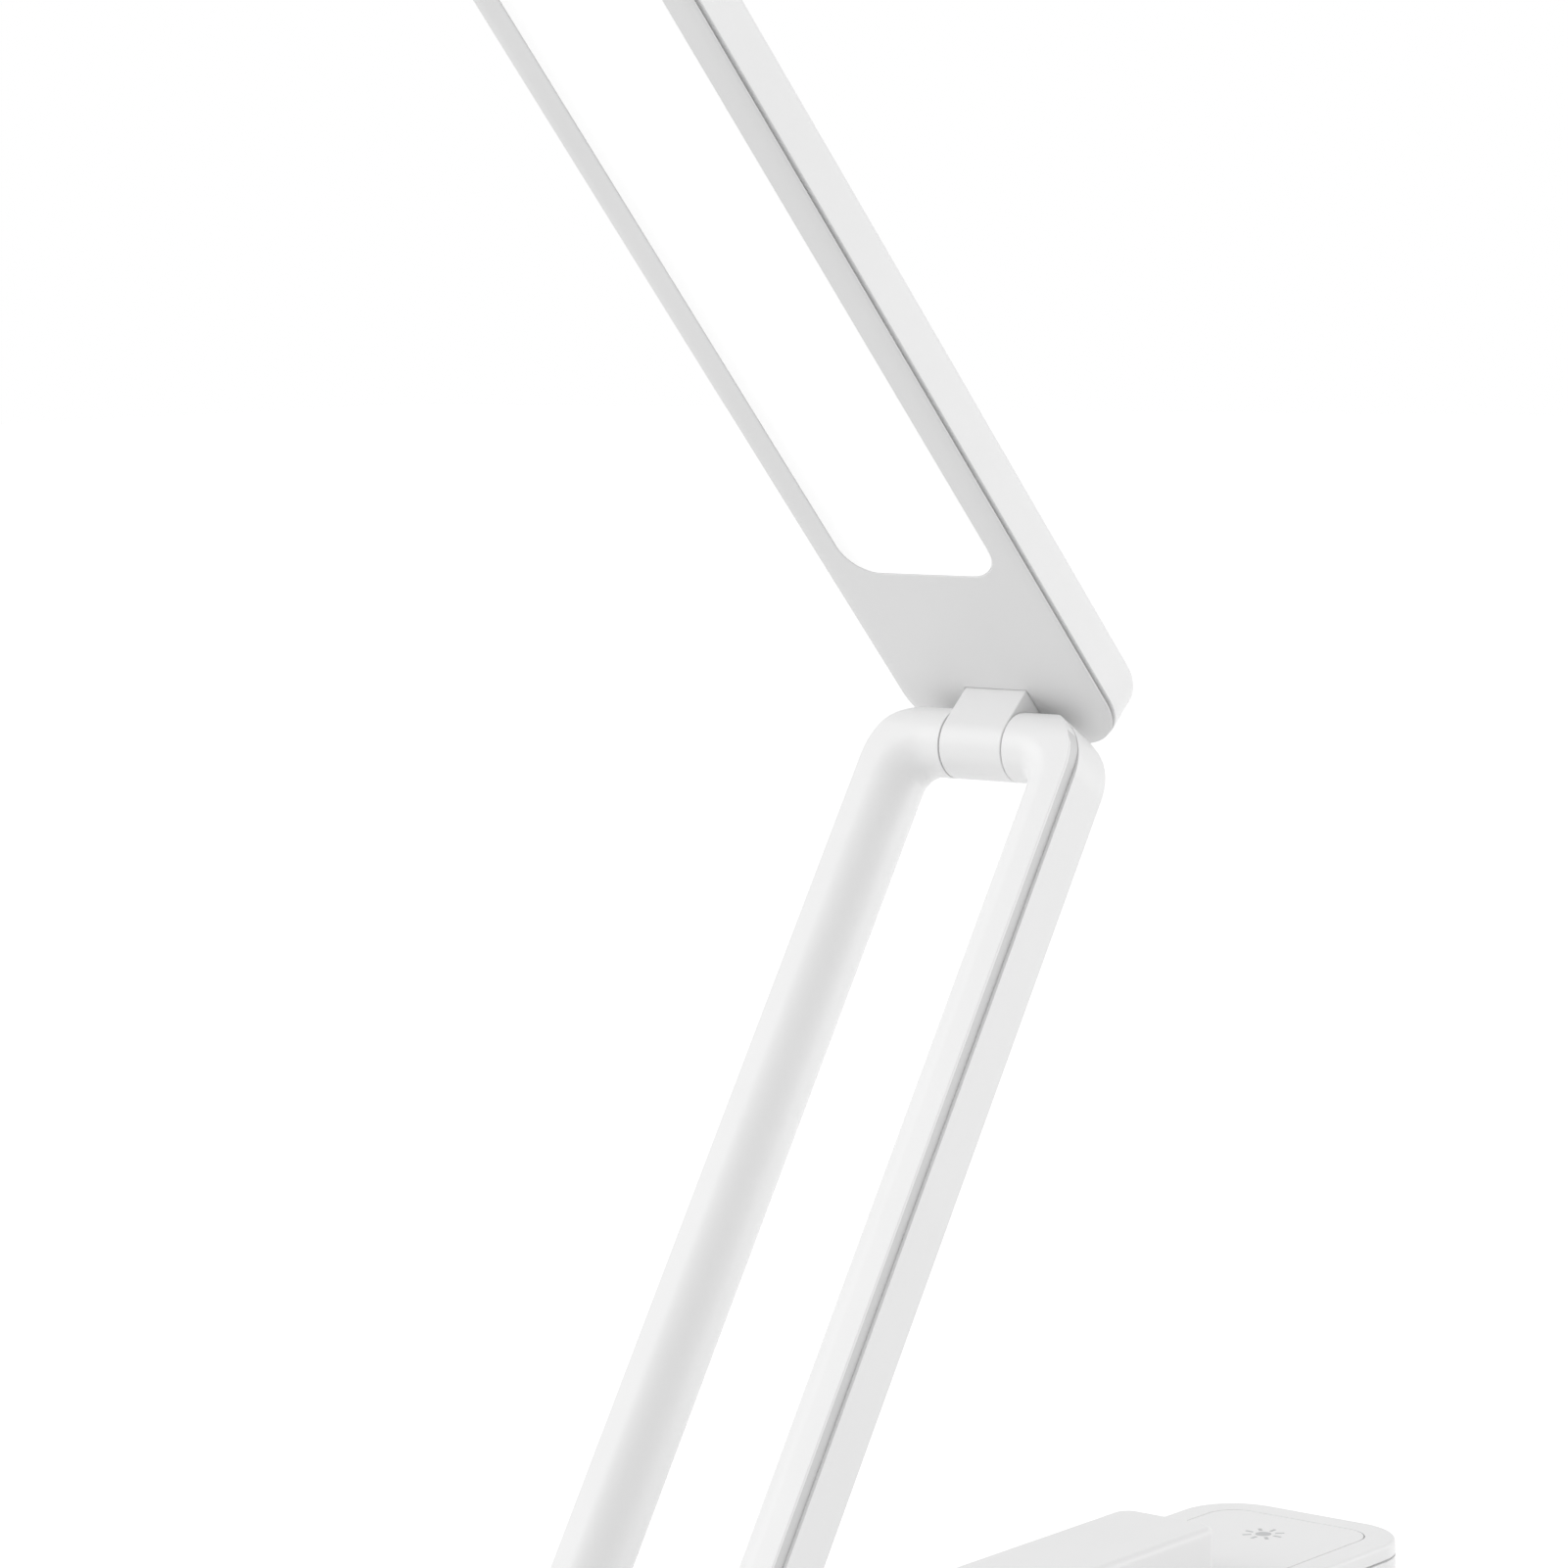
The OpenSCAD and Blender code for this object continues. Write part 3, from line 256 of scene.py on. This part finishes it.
def glass_epoxy():
    """Glass-fibre epoxy board under green solder mask, its weave just showing through."""
    material, tree, shader = start_material("glass_epoxy_board", IOR=1.55, Roughness=0.35)
    weave = add_node(tree, "ShaderNodeTexChecker",
                     {"Scale": 1 / (0.9 * MM), "Color1": srgb("1E5B33"), "Color2": srgb("226339")},
                     {"Vector": object_place(tree)})
    tree.links.new(weave.outputs["Color"], shader.inputs["Base Color"])
    return material


def chip_epoxy():
    """Black epoxy moulding compound, finely sand-blasted by its mould."""
    material, tree, shader = start_material("epoxy_moulding_compound", IOR=1.55)
    uneven(tree, shader, "Base Color", size_mm=4, low=srgb("1B1B1D"), high=srgb("232325"))
    uneven(tree, shader, "Roughness", size_mm=1, low=0.5, high=0.62)
    return material


def contact_polymer():
    """Black liquid crystal polymer round a socket's contacts, satin from the mould."""
    material, tree, shader = start_material("liquid_crystal_polymer", IOR=1.6)
    uneven(tree, shader, "Base Color", size_mm=2, low=srgb("161618"), high=srgb("1E1E20"))
    uneven(tree, shader, "Roughness", size_mm=1, low=0.4, high=0.5)
    return material


def shrink_sleeve():
    """PVC shrink sleeve on a steel can: taut and glossy, slightly wavy where it shrank."""
    material, tree, shader = start_material("pvc_shrink_sleeve", IOR=1.54)
    uneven(tree, shader, "Base Color", size_mm=14, low=srgb("2F5F93"), high=srgb("35689E"))
    uneven(tree, shader, "Roughness", size_mm=6, low=0.22, high=0.32)
    grain(tree, shader, size_mm=3, depth_mm=0.02, strength=0.5)
    return material


def cast_iron():
    """Sand-cast iron: dark grey, pitted by the sand."""
    material, tree, shader = start_material("sand_cast_iron", Metallic=1.0)
    uneven(tree, shader, "Base Color", size_mm=6, low=srgb("4E4E50"), high=srgb("606062"))
    uneven(tree, shader, "Roughness", size_mm=2, low=0.55, high=0.75)
    grain(tree, shader, size_mm=0.8, depth_mm=0.08, strength=0.8)
    return material


def bare_copper():
    """Rolled copper foil, a little tarnished in patches."""
    material, tree, shader = start_material("rolled_copper", Metallic=1.0)
    uneven(tree, shader, "Base Color", size_mm=3, low=srgb("B87A4A"), high=srgb("CC8F5E"))
    uneven(tree, shader, "Roughness", size_mm=2, low=0.3, high=0.45)
    return material


def lead_sheath():
    """Soft PVC sheath of a lead, satin, slightly uneven from the extruder."""
    material, tree, shader = start_material("soft_pvc_sheath", IOR=1.53)
    uneven(tree, shader, "Base Color", size_mm=8, low=srgb("161617"), high=srgb("1E1E20"))
    uneven(tree, shader, "Roughness", size_mm=3, low=0.45, high=0.58)
    return material


def acetal():
    """Moulded acetal, waxy and cream-white."""
    material, tree, shader = start_material("moulded_acetal", IOR=1.48)
    uneven(tree, shader, "Base Color", size_mm=5, low=srgb("E6E1D3"), high=srgb("EDE9DC"))
    uneven(tree, shader, "Roughness", size_mm=2, low=0.35, high=0.45)
    return material


def clear_acrylic():
    """Clear acrylic light guide with rows of printed white dots that let the light out."""
    material, tree, shader = start_material("dotted_clear_acrylic", IOR=1.49, Roughness=0.08)
    dots = add_node(tree, "ShaderNodeTexVoronoi", {"Scale": 1 / (1.6 * MM), "Randomness": 0.0},
                    {"Vector": object_place(tree)})
    cover = add_node(tree, "ShaderNodeMapRange",
                     {"From Min": 0.25, "From Max": 0.35, "To Min": 0.15, "To Max": 0.85},
                     {"Value": dots.outputs["Distance"]})
    tree.links.new(cover.outputs["Result"], shader.inputs["Transmission Weight"])
    return material


def white_film():
    """White reflector film, matt, with the faint cloudiness of filled polyester."""
    material, tree, shader = start_material("filled_polyester_film", IOR=1.57)
    uneven(tree, shader, "Base Color", size_mm=10, low=srgb("F2F2F0"), high=srgb("F8F8F6"))
    uneven(tree, shader, "Roughness", size_mm=5, low=0.6, high=0.7)
    return material


def white_solder_mask():
    """White solder mask on an aluminium LED board, satin, slightly yellowed by its curing."""
    material, tree, shader = start_material("white_solder_mask", IOR=1.55)
    uneven(tree, shader, "Base Color", size_mm=8, low=srgb("EDEDE8"), high=srgb("F3F3EF"))
    uneven(tree, shader, "Roughness", size_mm=4, low=0.32, high=0.42)
    return material


def led_phosphor():
    """Phosphor under silicone on an LED: pale yellow, glossy on top."""
    material, tree, shader = start_material("led_phosphor", IOR=1.41)
    uneven(tree, shader, "Base Color", size_mm=1, low=srgb("E8D77C"), high=srgb("F2E592"))
    uneven(tree, shader, "Roughness", size_mm=1, low=0.2, high=0.3)
    return material


def clear_pipe():
    """Clear polycarbonate light pipe, polished."""
    material, tree, shader = start_material("clear_polycarbonate", Base_Color=srgb("EEF4F8"), IOR=1.585,
                                            Transmission_Weight=0.9)
    uneven(tree, shader, "Roughness", size_mm=1, low=0.05, high=0.12)
    return material


# ---------------------------------------------------------------- shapes


def to_piece(name, bm, material, body, slot, *nodes):
    """Turns a bmesh into a finished piece that rides on a body and stands for CAD nodes."""
    bmesh.ops.recalc_face_normals(bm, faces=bm.faces)
    for face in bm.faces:
        face.smooth = True
    for edge in bm.edges:
        edge.smooth = len(edge.link_faces) == 2 and edge.calc_face_angle() < SHARP_TURN
    mesh = bpy.data.meshes.new(name)
    bm.to_mesh(mesh)
    bm.free()
    # The CAD mesh's own shading doesn't fit the rounded edges
    if "custom_normal" in mesh.attributes:
        mesh.attributes.remove(mesh.attributes["custom_normal"])
    mesh.materials.append(material)
    piece = bpy.data.objects.new(name, mesh)
    bpy.context.scene.collection.objects.link(piece)
    even = piece.modifiers.new("even_shading", "WEIGHTED_NORMAL")
    even.keep_sharp = True
    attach(piece, body)
    if nodes:
        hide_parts(*nodes)
    return piece


def merged_copy(node):
    """A CAD node's shape as one closed surface, with its flat faces whole again."""
    bm = bmesh.new()
    bm.from_mesh(frame["nodes"][node].data)
    bmesh.ops.remove_doubles(bm, verts=bm.verts, dist=WELD)
    bmesh.ops.dissolve_limit(bm, angle_limit=FLAT_TURN, verts=bm.verts, edges=bm.edges)
    return bm


def soften(bm, radius, shortest, where=None):
    """Rounds the sharp outer edges of a moulding, as the mould's own radius leaves them."""
    sharp = [e for e in bm.edges if len(e.link_faces) == 2 and e.is_convex
             and e.calc_face_angle() > SHARP_TURN and e.calc_length() > shortest
             and (where is None or where((e.verts[0].co + e.verts[1].co) / 2))]
    bmesh.ops.bevel(bm, geom=sharp, offset=radius, offset_type="OFFSET", segments=MOULD_SEGMENTS,
                    profile=0.5, affect="EDGES", clamp_overlap=True, material=-1, loop_slide=True)


def rounded_slab(centre, length, width, z_low, z_high, corner, low, high):
    """A flat block with round corners seen from above, and radii low and high on its rims."""
    bm = bmesh.new()
    place = Matrix.Translation((centre, 0, (z_low + z_high) / 2)) @ Matrix.Diagonal(
        (length, width, z_high - z_low, 1))
    bmesh.ops.create_cube(bm, size=1, matrix=place)
    upright = [e for e in bm.edges if abs(e.verts[0].co.z - e.verts[1].co.z) > SAME_LEVEL]
    bmesh.ops.bevel(bm, geom=upright, offset=corner, offset_type="OFFSET", segments=CORNER_SEGMENTS,
                    profile=0.5, affect="EDGES", material=-1)
    for level, radius in ((z_low, low), (z_high, high)):
        ring = [e for e in bm.edges if all(abs(v.co.z - level) < SAME_LEVEL for v in e.verts)]
        bmesh.ops.bevel(bm, geom=ring, offset=radius, offset_type="OFFSET", segments=RIM_SEGMENTS,
                        profile=0.5, affect="EDGES", material=-1)
    return bm


# ---------------------------------------------------------------- settings


class LampEdges(bpy.types.PropertyGroup):
    """Radii on the lamp's moulded and cast edges."""
    shell: FloatProperty(name="Shell edges", description="Radius on the base's, arm's and knuckles' edges",
                         default=0.25 * MM, min=0.05 * MM, max=0.5 * MM, subtype="DISTANCE", unit="LENGTH")
    face: FloatProperty(name="Head edges", description="Radius on the edges of the head's two shells",
                        default=0.2 * MM, min=0.05 * MM, max=0.35 * MM, subtype="DISTANCE", unit="LENGTH")
    diffuser: FloatProperty(name="Diffuser edge", description="Radius on the outer edge of the diffuser",
                            default=0.35 * MM, min=0.1 * MM, max=0.6 * MM, subtype="DISTANCE", unit="LENGTH")


class LampFinish(bpy.types.PropertyGroup):
    """Finish of the lamp's visible plastics."""
    shell_roughness: FloatProperty(name="Shell roughness", description="Roughness of the white shells",
                                   default=0.4, min=0.2, max=0.7)
    face_roughness: FloatProperty(name="Face roughness",
                                  description="Roughness of the face plate and the arm's strips",
                                  default=0.42, min=0.2, max=0.7)


class LampStage(bpy.types.PropertyGroup):
    """Camera, floor and light."""
    lens: FloatProperty(name="Lens", description="Focal length of the camera in millimetres",
                        default=112.7787, min=50, max=200)
    key: FloatProperty(name="Key light", description="Power of the stronger light in W",
                       default=5.6, min=0, max=60)
    fill: FloatProperty(name="Fill light", description="Power of the weaker light, from the far side, in W",
                        default=4.6, min=0, max=60)
    world: FloatProperty(name="Surroundings", description="Strength of the even light from all around",
                         default=0.7, min=0, max=2)
    floor: FloatVectorProperty(name="Floor", description="Colour of the floor", subtype="COLOR", size=3,
                               default=srgb("F4F4F4")[:3], min=0, max=1)


# ---------------------------------------------------------------- pieces


class LAMP_OT_base_shells(bpy.types.Operator):
    """Build the lower shell, the rim and the deck with the battery island"""
    bl_idname = "lamp_parts.base_shells"
    bl_label = "Base Shells"

    def execute(self, context):
        edges, finish = context.scene.lamp_edges, context.scene.lamp_finish
        white = moulded_abs("moulded_abs_white", "F3F3F3", "F0F0F0", finish.shell_roughness)
        for node, name in (("base_lower_shell", "base_tray"), ("base_rim", "deck_rim"),
                           ("base_deck", "island_deck")):
            bm = merged_copy(node)
            soften(bm, edges.shell, WIDE_SHORTEST)
            to_piece(name, bm, white, "base", "white_abs", node)
        return {"FINISHED"}


class LAMP_OT_pad(bpy.types.Operator):
    """Build the anti-slip pad under the base"""
    bl_idname = "lamp_parts.pad"
    bl_label = "Anti-Slip Pad"

    def execute(self, context):
        low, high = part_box("anti_slip_pad")
        bm = rounded_slab((low.x + high.x) / 2, high.x - low.x, high.y - low.y, low.z, high.z,
                          PAD_CORNER, PAD_LOWER_EDGE, PAD_UPPER_EDGE)
        to_piece("grip_pad", bm, silicone_rubber(), "base", "rubber_pad", "anti_slip_pad")
        return {"FINISHED"}


class LAMP_OT_arm_legs(bpy.types.Operator):
    """Build the two legs of the arm, each a front shell and a rear band"""
    bl_idname = "lamp_parts.arm_legs"
    bl_label = "Arm Legs"

    def execute(self, context):
        edges, finish = context.scene.lamp_edges, context.scene.lamp_finish
        white = moulded_abs("moulded_abs_arm", "F4F4F4", "F1F1F1", finish.shell_roughness)
        # A greyer copy of the arm's white ABS: painted shade for the sunken strips along the legs' outer
        # sides
        shade = moulded_abs("moulded_abs_strip_painted_shade", "DADADA", "D6D6D6", finish.face_roughness)
        along = (TURN["head_tilt"] - TURN["arm_tilt"]).normalized()
        front = Vector((-along.z, 0, along.x))

        def height(place):
            """How far a place lies in front of the plane through both hinge axes."""
            return (place - TURN["arm_tilt"]).dot(front)

        for side in ("left", "right"):
            bm = merged_copy(f"{side}_leg_shell")
            soften(bm, edges.shell, SLIM_SHORTEST, lambda place: height(place) > STRIP_MIDDLE)
            for face in bm.faces:
                middle = face.calc_center_median()
                outward = face.normal.y * middle.y > 0 and abs(face.normal.y) > SIDEWAYS
                # The strip's painted shade, a greyer copy of the white ABS that stands for the shadow in the
                # recess, is the second material on the mesh
                face.material_index = int(outward and abs(height(middle) - STRIP_MIDDLE) < STRIP_REACH)
            piece = to_piece(f"{side}_leg_front", bm, white, "arm", "white_abs", f"{side}_leg_shell")
            piece.data.materials.append(shade)
            bm = merged_copy(f"{side}_leg_band")
            soften(bm, edges.shell, SLIM_SHORTEST, lambda place: height(place) < 0)
            to_piece(f"{side}_leg_rear", bm, white, "arm", "white_abs", f"{side}_leg_band")
        return {"FINISHED"}


class LAMP_OT_hinge_knuckles(bpy.types.Operator):
    """Build the knuckles and lugs that carry the arm and the head"""
    bl_idname = "lamp_parts.hinge_knuckles"
    bl_label = "Hinge Knuckles"

    def execute(self, context):
        coat = powder_coat()
        for node, name, body in (("base_hinge_bracket", "lower_knuckle", "base"),
                                 ("head_hinge_bracket", "upper_knuckle", "head")):
            bm = merged_copy(node)
            soften(bm, context.scene.lamp_edges.shell, SLIM_SHORTEST)
            to_piece(name, bm, coat, body, "bracket_metal", node)
        return {"FINISHED"}


class LAMP_OT_head_shells(bpy.types.Operator):
    """Build the head's back cover and its face plate"""
    bl_idname = "lamp_parts.head_shells"
    bl_label = "Head Shells"

    def execute(self, context):
        edges, finish = context.scene.lamp_edges, context.scene.lamp_finish
        white = moulded_abs("moulded_abs_head", "F3F3F3", "F0F0F0", finish.shell_roughness)
        # A greyer copy of the head's white ABS: painted shade on the face plate, which faces down and away
        # from the lamps
        grey = moulded_abs("moulded_abs_face_painted_shade", "E7E7E7", "E4E4E4", finish.face_roughness)
        bm = merged_copy("head_back_cover")
        soften(bm, edges.face, WIDE_SHORTEST)
        to_piece("back_shell", bm, white, "head", "white_abs", "head_back_cover")
        bm = merged_copy("head_face_plate")
        soften(bm, edges.face, SLIM_SHORTEST)
        to_piece("face_frame", bm, grey, "head", "face_abs", "head_face_plate")
        return {"FINISHED"}


class LAMP_OT_diffuser(bpy.types.Operator):
    """Build the lit diffuser in the face plate's window"""
    bl_idname = "lamp_parts.diffuser"
    bl_label = "Diffuser"

    def execute(self, context):
        bm = merged_copy("diffuser")
        soften(bm, context.scene.lamp_edges.diffuser, PANEL_SHORTEST)
        panel = to_piece("lit_panel", bm, opal_acrylic(), "head", "opal_acrylic", "diffuser")
        # U runs along the panel, and V across it from 0 at the side with the weaker glow
        reach = max(abs(v.co.y) for v in panel.data.vertices)
        layer = panel.data.uv_layers.new(name="across")
        for loop in panel.data.loops:
            place = panel.data.vertices[loop.vertex_index].co
            layer.data[loop.index].uv = (place.x, 0.5 - 0.5 * place.y / reach)
        return {"FINISHED"}


class LAMP_OT_hardware(bpy.types.Operator):
    """Give the fasteners, hinge parts, battery, boards and light engine their finishes"""
    bl_idname = "lamp_parts.hardware"
    bl_label = "Hardware and Electronics"

    def execute(self, context):
        finishes = {
            nickel_plate(): ("case_screws", "board_screws", "bracket_screws", "arm_screws", "head_screws",
                             "lower_axle", "lower_washers", "lower_nut", "upper_axle", "upper_washers",
                             "upper_nut", "usb_socket", "battery_tabs"),
            moulded_inlay(): ("touch_symbol",),
            bare_copper(): ("touch_electrode",),
            glass_epoxy(): ("control_board",),
            chip_epoxy(): ("board_components",),
            contact_polymer(): ("usb_tongue",),
            clear_pipe(): ("charge_light",),
            shrink_sleeve(): ("battery_cells",),
            cast_iron(): ("counterweights",),
            lead_sheath(): ("base_lead", "arm_lead", "head_lead"),
            acetal(): ("lower_bushes", "upper_bushes"),
            clear_acrylic(): ("light_guide",),
            white_film(): ("reflector_sheet",),
            white_solder_mask(): ("led_board",),
            led_phosphor(): ("leds",),
        }
        for material, nodes in finishes.items():
            for node in nodes:
                for slot in frame["nodes"][node].material_slots:
                    slot.material = material
        return {"FINISHED"}


class LAMP_OT_stage(bpy.types.Operator):
    """Set up the floor, the soft light and the camera"""
    bl_idname = "lamp_parts.stage"
    bl_label = "Stage"

    def execute(self, context):
        stage = context.scene.lamp_stage
        self.lay_floor(stage)
        self.light(context.scene, stage)
        self.aim_camera(context.scene, stage)
        context.scene.view_settings.view_transform = "Standard"
        return {"FINISHED"}

    def lay_floor(self, stage):
        """A pale paper floor that takes shadows and is lifted to white where it is seen."""
        bm = bmesh.new()
        bmesh.ops.create_grid(bm, x_segments=1, y_segments=1, size=FLOOR_HALF)
        mesh = bpy.data.meshes.new("studio_floor")
        bm.to_mesh(mesh)
        bm.free()
        floor = bpy.data.objects.new("studio_floor", mesh)
        bpy.context.scene.collection.objects.link(floor)
        material = bpy.data.materials.new("studio_paper")
        material.use_nodes = True
        tree = material.node_tree
        tree.nodes.clear()
        paper = add_node(tree, "ShaderNodeBsdfDiffuse", {"Color": tuple(stage.floor) + (1.0,)})
        lift = add_node(tree, "ShaderNodeEmission", {"Strength": FLOOR_LIFT})
        both = add_node(tree, "ShaderNodeAddShader", links={0: paper.outputs[0], 1: lift.outputs[0]})
        mix = add_node(tree, "ShaderNodeMixShader",
                       links={"Fac": background_rays(tree), 1: paper.outputs[0], 2: both.outputs[0]})
        add_node(tree, "ShaderNodeOutputMaterial", links={"Surface": mix.outputs[0]})
        mesh.materials.append(material)

    def light(self, scene, stage):
        """Even light from all around, a soft lamp and a weaker one from the far side."""
        world = bpy.data.worlds.new("studio")
        scene.world = world
        world.use_nodes = True
        tree = world.node_tree
        tree.nodes.clear()
        strength = add_node(tree, "ShaderNodeMapRange", {"To Min": stage.world, "To Max": 1.0},
                            {"Value": background_rays(tree)})
        air = add_node(tree, "ShaderNodeBackground", {"Color": srgb("FFFFFF")},
                       {"Strength": strength.outputs["Result"]})
        add_node(tree, "ShaderNodeOutputWorld", links={"Surface": air.outputs[0]})
        for name, place, power in (("key", KEY_PLACE, stage.key), ("fill", FILL_PLACE, stage.fill)):
            lamp = bpy.data.lights.new(name, "AREA")
            lamp.size = LAMP_WIDTH
            lamp.energy = power
            holder = bpy.data.objects.new(name, lamp)
            holder.location = place
            holder.rotation_euler = (LIT_POINT - place).to_track_quat("-Z", "Y").to_euler()
            scene.collection.objects.link(holder)

    def aim_camera(self, scene, stage):
        """The camera that the photo was taken with, as fitted to its outlines."""
        ahead = Vector((math.cos(PHOTO_PITCH) * math.cos(PHOTO_YAW),
                        math.cos(PHOTO_PITCH) * math.sin(PHOTO_YAW), math.sin(PHOTO_PITCH)))
        level = ahead.cross(Vector((0, 0, 1))).normalized()
        top = level.cross(ahead)
        right = level * math.cos(PHOTO_ROLL) + top * math.sin(PHOTO_ROLL)
        up = top * math.cos(PHOTO_ROLL) - level * math.sin(PHOTO_ROLL)
        eye = TURN["head_tilt"] + ARM_WIDTH * PHOTO_EYE
        camera = bpy.data.cameras.new("photo_view")
        camera.lens = stage.lens
        camera.sensor_width = 36
        camera.clip_start = 0.05
        holder = bpy.data.objects.new("photo_view", camera)
        holder.matrix_world = Matrix((
            (right.x, up.x, -ahead.x, eye.x),
            (right.y, up.y, -ahead.y, eye.y),
            (right.z, up.z, -ahead.z, eye.z),
            (0, 0, 0, 1)))
        scene.collection.objects.link(holder)
        scene.camera = holder


class LAMP_PT_parts(bpy.types.Panel):
    """The lamp's pieces, in the order they are built"""
    bl_idname = "LAMP_PT_parts"
    bl_label = "Folding Desk Lamp"
    bl_space_type = "VIEW_3D"
    bl_region_type = "UI"
    bl_category = "Lamp"

    def draw(self, context):
        column = self.layout.column()
        for operator in PIECES:
            column.operator(operator.bl_idname)
        for settings in (context.scene.lamp_edges, context.scene.lamp_finish, context.scene.lamp_stage):
            for key in settings.__annotations__:
                column.prop(settings, key)


PIECES = (LAMP_OT_base_shells, LAMP_OT_pad, LAMP_OT_arm_legs, LAMP_OT_hinge_knuckles, LAMP_OT_head_shells,
          LAMP_OT_diffuser, LAMP_OT_hardware, LAMP_OT_stage)
SETTINGS = {"lamp_edges": LampEdges, "lamp_finish": LampFinish, "lamp_stage": LampStage}


def register():
    """Registers the settings, the operators and the panel."""
    for cls in (*SETTINGS.values(), *PIECES, LAMP_PT_parts):
        bpy.utils.register_class(cls)
    for name, cls in SETTINGS.items():
        setattr(bpy.types.Scene, name, PointerProperty(type=cls))


def unregister():
    """Removes what register added."""
    for name in SETTINGS:
        delattr(bpy.types.Scene, name)
    for cls in (LAMP_PT_parts, *reversed(PIECES), *SETTINGS.values()):
        bpy.utils.unregister_class(cls)


def main():
    """Builds every piece and the stage."""
    register()
    bpy.ops.lamp_parts.base_shells()
    bpy.ops.lamp_parts.pad()
    bpy.ops.lamp_parts.arm_legs()
    bpy.ops.lamp_parts.hinge_knuckles()
    bpy.ops.lamp_parts.head_shells()
    bpy.ops.lamp_parts.diffuser()
    bpy.ops.lamp_parts.hardware()
    bpy.ops.lamp_parts.stage()


if __name__ == "__main__":
    main()
